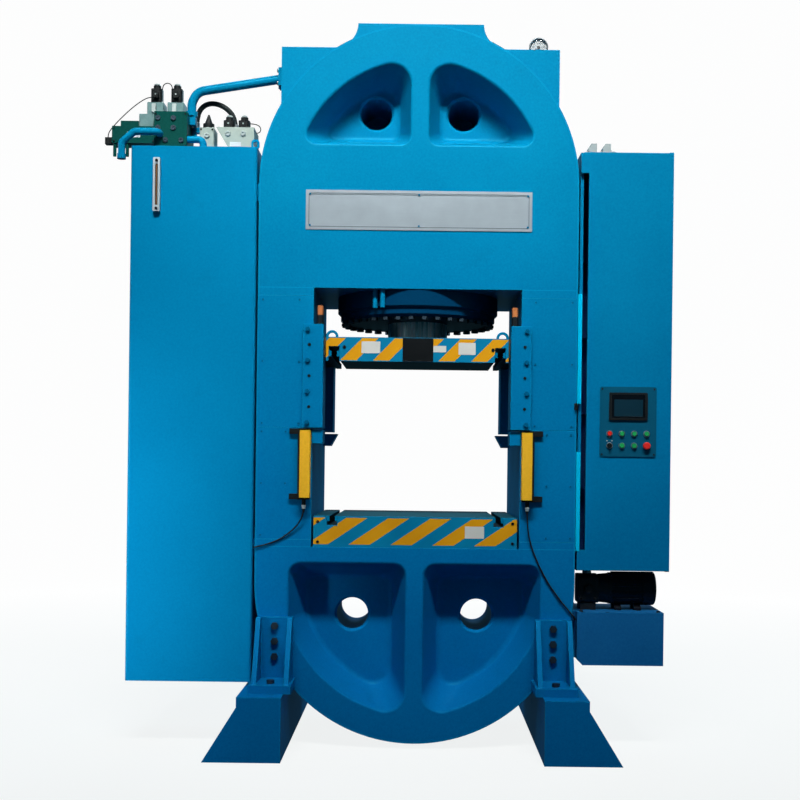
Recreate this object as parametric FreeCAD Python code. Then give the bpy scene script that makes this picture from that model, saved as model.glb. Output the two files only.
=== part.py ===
"""Round-ended, winding-bound hydraulic press with its oil tank, valves and control cabinet.

Millimetres, +Z up, the operator stands on the -Y side.  The origin is the centre of the
bolster's top face, on the press axis.
"""
import FreeCAD, Part
import math
import os

# --- Press frame: two half-round beams and two columns, bound by a winding ---------------
frame_depth = 900.0          # front face to rear face
frame_outer = 840.0          # half width, and outer radius of both round ends
guard_sheet = 6.0            # sheet that closes the winding groove
winding_depth = 74.0         # radial thickness of the winding
winding_half = 330.0         # half width of the winding along Y
winding_room = 12.0          # free space between winding and guard sheet
window_half = 546.0          # half width of the working window
window_top = 1197.0          # underside of the upper beam
bolster_height = 163.0       # bolster face above the lower beam
upper_arc_z = 1745.0         # centre height of the upper round end
lower_arc_z = -350.0         # centre height of the lower round end
floor_z = -1218.0            # floor under the feet
cover_sheet = 8.0            # plates on the columns' front and rear
cover_seam = 1.5             # gap between neighbouring plates
upper_cover_top = 1155.0     # top edge of the upper column plates
cover_split = 462.0          # seam between upper and lower column plates
lower_cover_bottom = -125.0  # bottom edge of the lower column plates
screw_radius = 6.0
screw_height = 4.0
screw_inset = 22.0           # screw centre to plate edge

# --- Cast pockets in the beams -------------------------------------------------------------
pocket_depth = 200.0
pocket_arc_corner = 110.0    # rounding between a pocket's rib and its arc
pocket_lip = 16.0            # rounding of the mouth
pocket_floor_round = 36.0
upper_pocket_radius = 656.0
upper_pocket_rise = 210.0     # base edge over the centre of the upper round end
upper_rib = 95.0             # rib between the two upper pockets
upper_pocket_draft = 62.0    # inset of the pocket's floor against its mouth
upper_pocket_corner = 55.0
lower_pocket_radius = 690.0
lower_pocket_rise = 103.0     # upper edge over the centre of the lower round end
lower_pocket_side = 663.0
lower_rib = 90.0
lower_pocket_draft = 80.0
lower_pocket_corner = 70.0
port_radius = 85.0           # round ports in the pocket floors
port_lip = 12.0
upper_port_x = 236.0
upper_port_rise = 213.0      # port's centre over the pocket's base edge
upper_port_depth = 380.0     # blind ports of the upper beam
lower_port_x = 335.0
lower_port_drop = 286.0      # port's centre under the pocket's upper edge

# --- Crown housing and pressure gauge --------------------------------------------------------
crown_half = 732.0
crown_top = 2593.0
crown_pad_half = 331.0
crown_shoulder = 2465.0
crown_setback = 18.0         # front wall behind the beam's front face
crown_sheet = 8.0
gauge_x = 646.0
gauge_setback = 300.0        # behind the frame's front face
gauge_radius = 50.0
gauge_thickness = 42.0
gauge_stem = 60.0
gauge_rim = 5.0
needle_length = 38.0
needle_sheet = 1.5
needle_tip = 0.5             # half width at the tip
needle_clearance = 0.1
needle_zero = 135.0          # degrees from upright to the zero mark, at the lower left
gauge_nut = 12.0             # across the corners of the stem

# --- Nameplate ------------------------------------------------------------------------------
nameplate_width = 1187.0
nameplate_height = 208.0
nameplate_z = 1606.0
nameplate_sheet = 4.0
nameplate_notch = 22.0

# --- Feet and their brackets ----------------------------------------------------------------
foot_inner = 657.0
foot_shoulder = 880.0        # outer edge of the foot's top
foot_outer = 1050.0          # outer edge on the floor
foot_height = 325.0
foot_edge = 50.0             # upright edge above the slope
foot_overhang = 340.0        # reach in front of and behind the frame
bracket_x = 727.0
bracket_width = 188.0
bracket_plate = 30.0
bracket_base = 44.0
bracket_base_width = 216.0
bracket_reach = 245.0        # base plate, front to back
bracket_top = -530.0
bracket_top_reach = 62.0
bracket_cheek = 24.0
bracket_bolt_pitch = 80.0
bracket_bolt_top = -575.0
bracket_bolt_count = 3
foot_bolt_radius = 20.0      # across the corners of the hexagon
foot_bolt_head = 18.0
anchor_setback = 60.0        # bolt in the base plate, behind its front edge

# --- Bolster and slide ----------------------------------------------------------------------
bolster_gap = 11.0           # bolster to the columns
table_setback = 20.0         # bolster and slide behind the frame's faces
apron_sheet = 12.0
t_slot_inset = 41.0          # slots from the slide's sides
t_slot_throat = 28.0
t_slot_head = 50.0
t_slot_head_height = 20.0
t_slot_depth = 48.0
apron_notch = 4.0            # clearance of the apron round a slot's mouth
slide_bottom = 840.0
slide_top = 941.0
slide_gap = 12.0             # slide to the guides
slide_apron_edge = 2.0       # apron beyond the slide's sides
slide_apron_drop = 26.0      # apron reaches under the slide's lower face
wing_reach = 50.0            # guide wings beyond the slide's sides
wear_plate = 10.0
guide_clearance = 0.3
eye_ring = 26.0
eye_wire = 7.0
eye_inset = 26.0
eye_setback = 50.0           # behind the table's front edge

# --- Guides, stops and lubricators ------------------------------------------------------------
guide_top = 1003.0
guide_bottom = 462.0
guide_reach = 56.0           # into the window
guide_flange = 52.0          # on the column's face
guide_proud = 34.0           # in front of the frame's face
guide_inner_depth = 132.0    # from the frame's face into the window
guide_chamfer = 3.0
guide_bolt_inset = 26.0
guide_bolt_radius = 13.0
guide_bolt_head = 12.0
guide_bolt_end = 27.0
guide_bolt_count = 4
stop_top = 450.0
stop_height = 70.0
stop_front_depth = 120.0
stop_rear_reach = 80.0
stop_slant = 38.0
lubricator_radius = 16.0
lubricator_height = 104.0
lubricator_collar = 19.0
lubricator_collar_height = 14.0
lubricator_setback = 20.0    # axis behind the frame's front face
lubricator_gap = 3.0         # collar to the guide's inner edge

# --- Main cylinder and ram --------------------------------------------------------------------
barrel_radius = 325.0
barrel_top = 1850.0
cylinder_bore = 250.0
cylinder_head = 70.0
flange_setback = 4.0         # flange behind the frame's faces
flange_height = 96.0         # thickness under the upper beam
gland_height = 44.0
gland_edge = 16.0            # gland ring inside the flange
gland_spigot = 60.0
gland_bolt_count = 36
gland_bolt_inset = 25.0      # bolt circle inside the gland ring
gland_bolt_radius = 21.0     # across the corners of the hexagon
gland_bolt_head = 16.0
ram_radius = 166.0
ram_clearance = 0.5
piston_length = 160.0
piston_top_gap = 20.0        # piston to cylinder head, at the top of the stroke
ram_socket = 50.0            # depth of the seat in the slide
seal_section = 12.0
seal_count = 2
seal_pitch = 38.0
pilot_pipe_radius = 13.0
pilot_pipe_x = -206.0
pilot_pipe_pitch = 40.0
fit = 0.3                    # gap where a piece seats on a curved face

# --- Light curtains and their leads -------------------------------------------------------------
curtain_x = 583.0
curtain_width = 65.0
curtain_depth = 50.0
curtain_bottom = 95.0
curtain_top = 448.0
curtain_standoff = 12.0
curtain_lens = 5.0
curtain_edge = 6.0
clamp_cap = 9.0              # black end cap of the bar
clamp_arm = 48.0             # arm towards the outside
clamp_height = 40.0
clamp_thickness = 20.0
gland_nut_radius = 11.0
gland_nut_length = 30.0
lead_radius = 4.0
left_lead_points = [         # x, y from the frame's front face, z
    (-583.0, -37.0, 56.0), (-583.0, -37.0, 20.0), (-600.0, -26.0, -26.0), (-640.0, -13.0, -76.0),
    (-700.0, -8.0, -121.0), (-768.0, -8.0, -150.0), (-828.0, -10.0, -165.0), (-846.0, -8.0, -169.0),
    (-846.0, 12.0, -170.0), (-846.0, 30.0, -170.0),
]
right_lead_points = [
    (583.0, -37.0, 56.0), (583.0, -37.0, 8.0), (590.0, -20.0, -66.0), (604.0, -10.0, -130.0),
    (634.0, -8.0, -212.0), (687.0, -8.0, -320.0), (760.0, -9.0, -424.0), (822.0, -11.0, -496.0),
    (846.0, -2.0, -524.0), (846.0, 26.0, -534.0), (846.0, 70.0, -534.0),
]

# --- Oil tank and level gauge -------------------------------------------------------------------
side_gap = 12.0              # seam between the frame and what hangs beside it
tank_width = 663.0
tank_top = 1931.0
tank_bottom = -877.0
tank_depth = 760.0
tank_edge = 14.0             # rounded upright edges
pad_height = 90.0            # mounting pads towards the frame
pad_depth = 120.0
pad_setback = 30.0
level_x = -1374.5
level_width = 37.0
level_height = 283.0
level_z = 1724.0
level_thickness = 24.0
level_glass = 15.0

# --- Valves on the tank -------------------------------------------------------------------------
manifold_x = -1320.0
manifold_width = 176.0
manifold_height = 196.0
manifold_depth = 200.0
manifold_setback = 150.0     # axis behind the frame's front face
side_valve_width = 232.0
side_valve_rise = 38.0       # under the side valve
side_valve_height = 90.0
side_valve_depth = 110.0
side_valve_cap = (0.8, 0.39)  # its ends, as shares of the side valve's width
side_valve_cap_height = 28.0
side_stub_places = (0.944, 0.655)
side_stub_front = 40.0       # stubs in front of the valve's axis
pilot_valve_x = -1358.0
pilot_valve_width = 88.0
pilot_valve_height = 62.0
pilot_valve_depth = 96.0
pilot_valve_pitch = 108.0
shoulder_valve_width = 90.0
shoulder_valve_height = 68.0
relief_x = -1134.0
relief_width = 77.0
relief_height = 123.0
relief_depth = 120.0
twin_right = -878.0          # right side of the twin valve block
twin_width = 202.0           # at its top
twin_coil_inset = 64.0       # right coil to the block's right side
twin_pitch = 80.0
twin_height = 119.0
twin_depth = 180.0
twin_slant = 72.0            # how far its left side leans in towards the foot
coil_radius = 30.0
pilot_coil_height = 80.0
lid_coil_height = 54.0
relief_tip_height = 50.0     # pointed cap of the relief valve
relief_tip_radius = 22.0
coil_cap = 20.0
coil_cap_height = 20.0
stub_radius = 9.0
stub_height = 69.0

# --- Pipes and hose -------------------------------------------------------------------------------
main_pipe_radius = 24.0
small_pipe_radius = 19.0
pipe_collar = 8.0            # union nuts and flanges beyond the pipe
pipe_collar_length = 26.0
hose_radius = 14.0
thin_lead_radius = 2.6
arch_steps = 4
arch_rise = 12.0
plug_length = 46.0
plug_half = 18.0
long_lead_steps = [
    (0.0, 0.0), (-14.0, 0.0), (-50.0, -16.0), (-110.0, -62.0), (-171.0, -121.0), (-220.0, -176.0),
    (-232.0, -203.0), (-232.0, -221.0),
]
coil_loop_steps = [(0.0, 0.0), (14.0, 0.0), (46.0, -7.0), (60.0, -28.0), (50.0, -50.0)]
pilot_lead_share = 0.5       # height of a lead's entry on a pilot coil
lid_lead_share = 0.8         # and on a coil over the lid
main_pipe_z = 2336.0         # where the main pipe enters the crown
main_pipe_inset = 6.0        # its lower end, right of the manifold's side
main_pipe_first = (0.0, 48.0)    # first corner, right of and above the foot
main_pipe_second = (30.0, 74.0)  # second corner, right of the foot and below the crown's end
left_pipe_start = (-55.0, 76.0)  # from the manifold's axis and the tank's lid
left_pipe_steps = [(14.0, 74.0), (-50.0, 18.0), (-50.0, -44.0)]  # from the lid's left corner
left_pipe_bend = 30.0
right_pipe_height = 53.0
right_pipe_reach = 84.0
right_pipe_setback = 20.0
right_pipe_bend = 28.0
hose_setback = 60.0          # behind the manifold's axis
hose_foot = 150.0            # above the tank's lid
hose_arch = [(0.0, 0.0), (0.0, 45.0), (0.08, 106.0), (0.3, 138.0), (0.6, 132.0), (0.88, 92.0),
             (1.0, 36.0)]

# --- Control cabinet ------------------------------------------------------------------------------
cabinet_width = 488.0
cabinet_top = 1931.0
cabinet_bottom = -273.0
cabinet_setback = 30.0       # face behind the door, behind the frame's front
cabinet_depth = 520.0
cabinet_wall = 4.0
cabinet_flange = 16.0
door_thickness = 22.0
door_sheet = 3.0
door_gap = 5.3
door_edge = 3.0              # door inside the cabinet's outline
door_corner = 22.0           # rounded top left corner
door_notch_width = 42.0
door_notch_top = 1818.0
door_notch_bottom = -163.0
hinge_inset = 11.0           # hinge axis to the door's right edge
hinge_pin = 5.0
hinge_pin_length = 18.0
hinge_clearance = 0.2
hinge_ear = 2.4
plate_sheet = 3.0
plate_standoff = 24.0
plate_margin = 44.0
device_rows = 4
device_columns = 5
device_depth = 82.0
device_step = 0.25           # how much shallower every second device is
device_fill = 0.42           # half width as a share of the pitch
device_tall = 1.4            # height over width
rail_depth = 6.0
rail_half = 18.0

# --- Operator panel -------------------------------------------------------------------------------
panel_x = 1111.0
panel_width = 297.0
panel_height = 367.0
panel_z = 513.0
panel_sheet = 6.0
panel_corner = 10.0
screen_width = 202.0
screen_height = 145.0
screen_z = 593.0
screen_thickness = 9.0
screen_corner = 7.0
screen_rim = 14.0
screen_rim_high = 11.0
screen_setback = 2.0
button_pitch = 64.6
button_row_upper = 450.0
button_row_lower = 387.0
button_radius = 12.0
button_height = 10.0
button_bezel = 15.0
button_bezel_height = 5.0
button_travel = 4.0
button_stem = 8.0
selector_height = 18.0
selector_grip = 8.0
selector_reach = 11.0
mushroom_radius = 20.0
mushroom_height = 26.0
mushroom_travel = 5.0
mushroom_collar = 14.0

# --- Connectors on the cabinet, pump unit and its base -----------------------------------------------
connector_x = 924.0
connector_pitch = 75.0
connector_width = 46.0
connector_height = 58.0
connector_depth = 70.0
connector_base = 12.0
connector_setback = 150.0    # behind the frame's front face
connector_rim = 2.0          # base beyond the plug
conduit_radius = 9.0
conduit_height = 28.0
conduit_reach = 44.0
conduit_box = 28.0
conduit_box_depth = 6.0
base_left = 856.0
base_right = 1310.0
base_top = -489.0
base_bottom = -767.0
base_depth = 420.0
base_chamfer = 30.0
saddle_depth = 150.0
saddle_setback = 70.0
saddle_inner = 742.0         # inner end of the saddle, under the round end
motor_height = 112.0         # shaft above the base
motor_radius = 90.0
motor_left = 1052.0
motor_length = 176.0
motor_setback = 180.0        # shaft behind the frame's front face
motor_rib = 6.0
motor_rib_count = 16
motor_foot = 14.0
motor_foot_width = 36.0
motor_foot_spread = 140.0
fan_cover_length = 62.0
fan_cover_wall = 3.0
fan_cover_round = 12.0
fan_cover_eye = 53.0         # round opening in the cover's end
grille_bars = 4
grille_reach = 81.0          # half length of a bar
fan_radius = 74.0
fan_width = 22.0
fan_blades = 7
fan_blade = 4.0
shaft_radius = 14.0
bell_length = 70.0
bell_radius = 82.0
bell_rim = 10.0
pump_length = 108.0
pump_width = 150.0
pump_foot_margin = 12.0      # foot inside the pump's ends
pump_port_radius = 20.0
pump_port_height = 22.0

# --- Values worked out from those above -----------------------------------------------------------
half_depth = frame_depth / 2
frame_front = -half_depth
table_half_depth = half_depth - table_setback
bolster_half = window_half - bolster_gap
slide_half = window_half - guide_reach - slide_gap
slide_apron_half = slide_half + slide_apron_edge
t_slot_x = slide_half - t_slot_inset
eye_x = slide_half - eye_inset
eye_y = -table_half_depth + eye_setback
cabinet_front = frame_front + cabinet_setback
connector_y = frame_front + connector_setback
manifold_y = frame_front + manifold_setback
main_pipe_y = manifold_y
motor_y = frame_front + motor_setback
gauge_y = frame_front + gauge_setback
flange_outer = frame_outer - guard_sheet
upper_pocket_base = upper_arc_z + upper_pocket_rise
lower_pocket_base = lower_arc_z + lower_pocket_rise
upper_port_z = upper_pocket_base + upper_port_rise
lower_port_z = lower_pocket_base - lower_port_drop
groove_radius = flange_outer - winding_room - winding_depth
bolster_floor = -bolster_height
flange_radius = half_depth - flange_setback
gland_radius = flange_radius - gland_edge
gland_bolt_circle = gland_radius - gland_bolt_inset
cylinder_bottom = window_top - flange_height
gland_bottom = cylinder_bottom - gland_height
side_wall = frame_outer + side_gap
foot_top = floor_z + foot_height
up = FreeCAD.Vector(0, 0, 1)
along_x = FreeCAD.Vector(1, 0, 0)
along_y = FreeCAD.Vector(0, 1, 0)


def point(x, y, z):
    return FreeCAD.Vector(x, y, z)


def box(x0, x1, y0, y1, z0, z1):
    """A block between two corners."""
    corner = point(min(x0, x1), min(y0, y1), min(z0, z1))
    return Part.makeBox(abs(x1 - x0), abs(y1 - y0), abs(z1 - z0), corner)


def rod(radius, start, direction, length):
    """A round bar from start, along direction."""
    return Part.makeCylinder(radius, length, start, direction)


def mirrored(shape):
    """The shape's twin on the other side of the press axis."""
    return shape.mirror(point(0, 0, 0), along_x)


def front_to_back(shape):
    """The shape's twin on the rear face."""
    return shape.mirror(point(0, 0, 0), along_y)


def both_sides(shape):
    return [shape, mirrored(shape)]


def all_corners(shape):
    """Four twins: left and right, front and rear."""
    return both_sides(shape) + both_sides(front_to_back(shape))


def joined(shapes):
    """One solid from pieces that overlap or touch."""
    whole = shapes[0].multiFuse(shapes[1:]) if len(shapes) > 1 else shapes[0]
    return whole.removeSplitter()


def profile_xz(points, y0, y1):
    """A closed outline of (x, z) corners, extruded from y0 to y1."""
    corners = [point(x, y0, z) for x, z in points]
    face = Part.Face(Part.makePolygon(corners + corners[:1]))
    return face.extrude(point(0, y1 - y0, 0))


def profile_yz(points, x0, x1):
    """A closed outline of (y, z) corners, extruded from x0 to x1."""
    corners = [point(x0, y, z) for y, z in points]
    face = Part.Face(Part.makePolygon(corners + corners[:1]))
    return face.extrude(point(x1 - x0, 0, 0))


def hexagon(radius, start, direction, length):
    """A hexagon bolt head from start, along direction."""
    side = along_x if abs(direction.x) < 0.5 else up
    other = direction.cross(side)
    corners = []
    for step in range(6):
        angle = math.radians(60 * step)
        corners.append(start + side * (radius * math.cos(angle)) + other * (radius * math.sin(angle)))
    face = Part.Face(Part.makePolygon(corners + corners[:1]))
    return face.extrude(direction * length)


def edges_along(shape, direction):
    """The straight edges of a shape that run along a direction."""
    found = []
    for edge in shape.Edges:
        if isinstance(edge.Curve, Part.Line) and edge.Curve.Direction.cross(direction).Length < 1e-6:
            found.append(edge)
    return found


def round_end(radius, y0, y1, centre_z, seat_z):
    """A half-round block: an arc about centre_z, and straight sides on to seat_z."""
    rise = radius if centre_z > seat_z else -radius
    arc = Part.Arc(point(-radius, y0, centre_z), point(0, y0, centre_z + rise), point(radius, y0, centre_z))
    corners = [point(radius, y0, centre_z), point(radius, y0, seat_z)]
    corners += [point(-radius, y0, seat_z), point(-radius, y0, centre_z)]
    sides = [Part.makeLine(a, b) for a, b in zip(corners, corners[1:])]
    face = Part.Face(Part.Wire([arc.toShape()] + sides))
    return face.extrude(point(0, y1 - y0, 0))


def bend_radius(before, corner, after):
    """Radius of a lead's arc at a corner, and half the turn there."""
    run_in = (corner - before).Length
    run_out = (after - corner).Length
    half_turn = (corner - before).getAngle(after - corner) / 2
    return 0.45 * min(run_in, run_out) / math.tan(half_turn), half_turn


def rounded_path(corners, radii):
    """Straight runs joined by tangent arcs."""
    edges = []
    start = corners[0]
    for index in range(1, len(corners) - 1):
        before, corner, after = corners[index - 1:index + 2]
        into = (before - corner).normalize()
        out = (after - corner).normalize()
        half_turn = (corner - before).getAngle(after - corner) / 2
        radius = radii[index - 1]
        tangent = radius * math.tan(half_turn)
        middle = (into + out).normalize() * (radius / math.cos(half_turn) - radius)
        edges.append(Part.LineSegment(start, corner + into * tangent).toShape())
        arc = Part.Arc(corner + into * tangent, corner + middle, corner + out * tangent)
        edges.append(arc.toShape())
        start = corner + out * tangent
    edges.append(Part.LineSegment(start, corners[-1]).toShape())
    return Part.Wire(edges)


def tube(path, radius, corners):
    """A round bar swept along a path."""
    ring = Part.makeCircle(radius, corners[0], corners[1] - corners[0])
    return path.makePipeShell([Part.Wire([ring])], True, False)


def lead(points, radius, label):
    """A flexible lead through hand-set points; prints its radii and compares its volume."""
    corners = [point(*place) for place in points]
    radii = []
    for index in range(1, len(corners) - 1):
        radii.append(bend_radius(*corners[index - 1:index + 2])[0])
    path = rounded_path(corners, radii)
    solid = tube(path, radius, corners)
    expected = math.pi * radius ** 2 * path.Length
    sizes = " ".join(f"{value:.0f}" for value in radii)
    print(f"{label}: radii {sizes}; length {path.Length:.0f}; volume {solid.Volume / expected:.4f}")
    return solid


def from_front(points):
    """Points whose y is measured from the frame's front face."""
    return [(x, frame_front + y, z) for x, y, z in points]


def pipe(points, radius, bend):
    """A rigid pipe with equal bends."""
    corners = [point(*place) for place in points]
    return tube(rounded_path(corners, [bend] * (len(corners) - 2)), radius, corners)


def save(name, shape):
    """Write one node's STEP file."""
    solids = shape if isinstance(shape, list) else [shape]
    for solid in solids:
        if not solid.isValid():
            print("not valid:", name)
    whole = Part.makeCompound(solids) if len(solids) > 1 else solids[0]
    whole.exportStep(f"parts/{name}.step")


def pocket_block(sense, centre_z, base_z, side_x, rib, radius, draft):
    """A pocket's sharp form: a wedge with drafted sides inside a cone for its arc.

    sense is +1 where the arc bulges upwards, and -1 where it bulges downwards.  Without side_x
    the base meets the arc.
    """
    cone = Part.makeCone(radius, radius - draft, pocket_depth, point(0, frame_front, centre_z), along_y)
    far_z = centre_z + sense * 2 * radius
    low_mouth, high_mouth = sorted((base_z, far_z))
    low_floor, high_floor = sorted((base_z + sense * draft, far_z))
    right = 2 * radius if side_x is None else side_x
    wedge = Part.makeWedge(rib / 2, frame_front, low_mouth, low_floor, rib / 2 + draft,
                           right, frame_front + pocket_depth, high_mouth, high_floor, right - draft)
    return wedge.common(cone).Solids[0]


def wall_edges(block):
    """Edges that lead from the mouth of a pocket to its floor, the lowest first."""
    found = [edge for edge in block.Edges if edge.BoundBox.YLength > 0.9 * pocket_depth]
    return sorted(found, key=lambda edge: edge.CenterOfMass.z)


def face_at(shape, y):
    """The largest flat face of a shape that lies at depth y."""
    flat = [face for face in shape.Faces
            if abs(face.CenterOfMass.y - y) < 0.01 and face.BoundBox.YLength < 0.01]
    return max(flat, key=lambda face: face.Area)


def pocket(sense, corner, *outline):
    """The cutting tool of one front pocket: drafted walls, round corners and a round floor edge."""
    block = pocket_block(sense, *outline)
    sharp = wall_edges(block)
    arc_corner = sharp.pop(-1 if sense > 0 else 0)
    block = block.makeFillet(corner, sharp).Solids[0]
    middle = arc_corner.CenterOfMass
    edge = min(wall_edges(block), key=lambda other: other.CenterOfMass.distanceToPoint(middle))
    block = block.makeFillet(pocket_arc_corner, [edge]).Solids[0]
    return block.makeFillet(pocket_floor_round, face_at(block, frame_front + pocket_depth).Edges)


def mouth_edges(shape, y):
    """Edges of the openings in the flat face at depth y."""
    face = face_at(shape, y)
    outside = face.OuterWire
    return [edge for wire in face.Wires if not wire.isSame(outside) for edge in wire.Edges]


def port(x, z, depth):
    """The cutting tool of a round port in a pocket's floor, with its bevelled lip."""
    start = point(x, frame_front + pocket_depth, z)
    bore = rod(port_radius, start, along_y, depth)
    flare = Part.makeCone(port_radius + port_lip, port_radius, port_lip, start, along_y)
    return joined([bore, flare])


def groove(centre_z, seat_z):
    """The winding's groove in a round beam."""
    span = frame_depth
    ring = round_end(frame_outer, -winding_half - fit, winding_half + fit, centre_z, seat_z)
    core = round_end(groove_radius, -span, span, centre_z, seat_z)
    return ring.cut(core)


def make_upper_beam():
    """Half-round casting with two D pockets on each face and the seat of the cylinder."""
    body = round_end(flange_outer, frame_front, half_depth, upper_arc_z, window_top)
    body = body.cut(groove(upper_arc_z, window_top))
    tool = pocket(1, upper_pocket_corner, upper_arc_z, upper_pocket_base, None, upper_rib,
                  upper_pocket_radius, upper_pocket_draft)
    blind = port(upper_port_x, upper_port_z, upper_port_depth)
    body = body.cut(all_corners(tool) + both_sides(blind))
    mouths = mouth_edges(body, frame_front) + mouth_edges(body, half_depth)
    body = body.makeFillet(pocket_lip, mouths)
    seat = rod(barrel_radius + fit, point(0, 0, window_top), up, barrel_top + fit - window_top)
    return body.cut(seat)


def make_lower_beam():
    """Half-round casting with two pockets on each face and round ports right through."""
    body = round_end(flange_outer, frame_front, half_depth, lower_arc_z, bolster_floor)
    body = body.cut(groove(lower_arc_z, bolster_floor))
    tool = pocket(-1, lower_pocket_corner, lower_arc_z, lower_pocket_base, lower_pocket_side, lower_rib,
                  lower_pocket_radius, lower_pocket_draft)
    opening = port(lower_port_x, lower_port_z, half_depth - pocket_depth)
    body = body.cut(all_corners(tool) + all_corners(opening))
    mouths = mouth_edges(body, frame_front) + mouth_edges(body, half_depth)
    return body.makeFillet(pocket_lip, mouths)


def make_column():
    """Right column: a forging with the winding's groove outside and recessed cover seats."""
    body = box(window_half, flange_outer, frame_front, half_depth, bolster_floor, window_top)
    slot = box(groove_radius, frame_outer, -winding_half - fit, winding_half + fit,
               bolster_floor, window_top)
    seat = box(window_half, flange_outer, frame_front, frame_front + cover_sheet,
               lower_cover_bottom, upper_cover_top)
    return body.cut([slot, seat, front_to_back(seat)])


def stadium(radius, y0, y1):
    """The frame's whole outline: two half rounds and the straight sides between them."""
    top = round_end(radius, y0, y1, upper_arc_z, lower_arc_z)
    bottom = round_end(radius, y0, y1, lower_arc_z, upper_arc_z)
    return joined([top, bottom])


def make_winding():
    """The winding that presses beams and columns together."""
    outer = stadium(groove_radius + winding_depth, -winding_half, winding_half)
    return outer.cut(stadium(groove_radius, -winding_half, winding_half))


def column_cover(z0, z1):
    """A flat plate on the right column's front, cut out round the guide block."""
    half_seam = cover_seam / 2
    plate = box(window_half, flange_outer, frame_front, frame_front + cover_sheet,
                z0 + half_seam, z1 - half_seam)
    notch = box(window_half, window_half + guide_flange + half_seam, frame_front, 0,
                guide_bottom - half_seam, guide_top + half_seam)
    return plate.cut(notch)


def make_frame_covers():
    """The guard sheet round the winding, in four lengths, and the column plates."""
    guard = stadium(frame_outer, frame_front, half_depth).cut(
        stadium(flange_outer, frame_front, half_depth))
    half_seam = cover_seam / 2
    ends = [
        guard.common(box(-frame_outer, frame_outer, frame_front, half_depth,
                         upper_arc_z + half_seam, upper_arc_z + frame_outer)),
        guard.common(box(-frame_outer, frame_outer, frame_front, half_depth,
                         lower_arc_z - half_seam, lower_arc_z - frame_outer)),
    ]
    side = guard.common(box(0, frame_outer, frame_front, half_depth,
                            lower_arc_z + half_seam, upper_arc_z - half_seam))
    plates = []
    for z0, z1 in ((lower_cover_bottom, cover_split), (cover_split, upper_cover_top)):
        plates += all_corners(column_cover(z0, z1))
    return ends + both_sides(side) + plates


def make_cover_screws():
    """Small screw heads along the edges of the column plates and the nameplate."""
    beside_guide = window_half + guide_flange + screw_inset
    beside_clamp = curtain_x + curtain_width / 2 + clamp_arm + screw_inset
    outer = flange_outer - screw_inset
    places = []
    for z0, z1, inner in ((lower_cover_bottom, cover_split, beside_clamp),
                          (cover_split, upper_cover_top, beside_guide)):
        for z in (z0 + screw_inset, (z0 + z1) / 2, z1 - screw_inset):
            places += [(inner, z), (outer, z)]
    heads = []
    for x, z in places:
        head = hexagon(screw_radius, point(x, frame_front, z), point(0, -1, 0), screw_height)
        heads += both_sides(head)
    plate_x = nameplate_width / 2 - screw_inset
    plate_z = nameplate_height / 2 - screw_inset
    plate_y = frame_front - nameplate_sheet
    for x in (-plate_x, 0, plate_x):
        for z in (nameplate_z - plate_z, nameplate_z + plate_z):
            heads.append(hexagon(screw_radius, point(x, plate_y, z), point(0, -1, 0), screw_height))
    return heads


def make_nameplate():
    """A bare metal plate with notched corners and a raised border."""
    y1 = frame_front
    y0 = y1 - nameplate_sheet
    half_width = nameplate_width / 2
    half_height = nameplate_height / 2
    plate = box(-half_width, half_width, y0, y1, nameplate_z - half_height, nameplate_z + half_height)
    half_sheet = nameplate_sheet / 2
    inner = box(-half_width + nameplate_notch, half_width - nameplate_notch, y0, y0 + half_sheet,
                nameplate_z - half_height + nameplate_notch, nameplate_z + half_height - nameplate_notch)
    return plate.cut(inner)


def crown_outline(inset):
    """Corner points and flank radius of the crown's silhouette, drawn in by inset."""
    flank = crown_top - crown_shoulder
    return crown_half - inset, crown_top - inset, crown_pad_half, flank, crown_shoulder - inset


def crown_block(inset, y0, y1):
    """The crown as a block: a flat pad with hollow round flanks, shoulders and upright sides."""
    half, top, pad, flank, shoulder = crown_outline(inset)
    outer = pad + flank
    turn = flank * (1 - math.sqrt(0.5))
    foot = upper_arc_z
    right = [point(half, y0, foot), point(half, y0, shoulder), point(outer, y0, shoulder)]
    edges = [Part.makeLine(right[0], right[1]), Part.makeLine(right[1], right[2])]
    edges.append(Part.Arc(right[2], point(pad + turn, y0, shoulder + turn), point(pad, y0, top)).toShape())
    edges.append(Part.makeLine(point(pad, y0, top), point(-pad, y0, top)))
    edges.append(Part.Arc(point(-pad, y0, top), point(-pad - turn, y0, shoulder + turn),
                          point(-outer, y0, shoulder)).toShape())
    edges.append(Part.makeLine(point(-outer, y0, shoulder), point(-half, y0, shoulder)))
    edges.append(Part.makeLine(point(-half, y0, shoulder), point(-half, y0, foot)))
    edges.append(Part.makeLine(point(-half, y0, foot), right[0]))
    return Part.Face(Part.Wire(edges)).extrude(point(0, y1 - y0, 0))


def make_crown_housing():
    """A sheet hood that sits on the guard over the upper beam."""
    y0 = frame_front + crown_setback
    hood = crown_block(0.0, y0, -y0)
    room = crown_block(crown_sheet, y0 + crown_sheet, -y0 - crown_sheet)
    beam = rod(frame_outer, point(0, frame_front, upper_arc_z), along_y, frame_depth)
    return hood.cut([room, beam])


def make_pressure_gauge():
    """A round dial on a short stem, standing on the crown's shoulder."""
    centre_z = crown_shoulder + gauge_stem + gauge_radius
    case = rod(gauge_radius, point(gauge_x, gauge_y, centre_z), along_y, gauge_thickness)
    dial = rod(gauge_radius - gauge_rim, point(gauge_x, gauge_y, centre_z), along_y, gauge_thickness / 4)
    stem = hexagon(gauge_nut, point(gauge_x, gauge_y + gauge_thickness / 2, crown_shoulder), up,
                   gauge_stem + gauge_rim)
    pin = rod(gauge_rim / 2, point(gauge_x, gauge_y + gauge_rim, centre_z), along_y, gauge_rim * 2)
    return joined([case.cut(dial), stem, pin])


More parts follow.
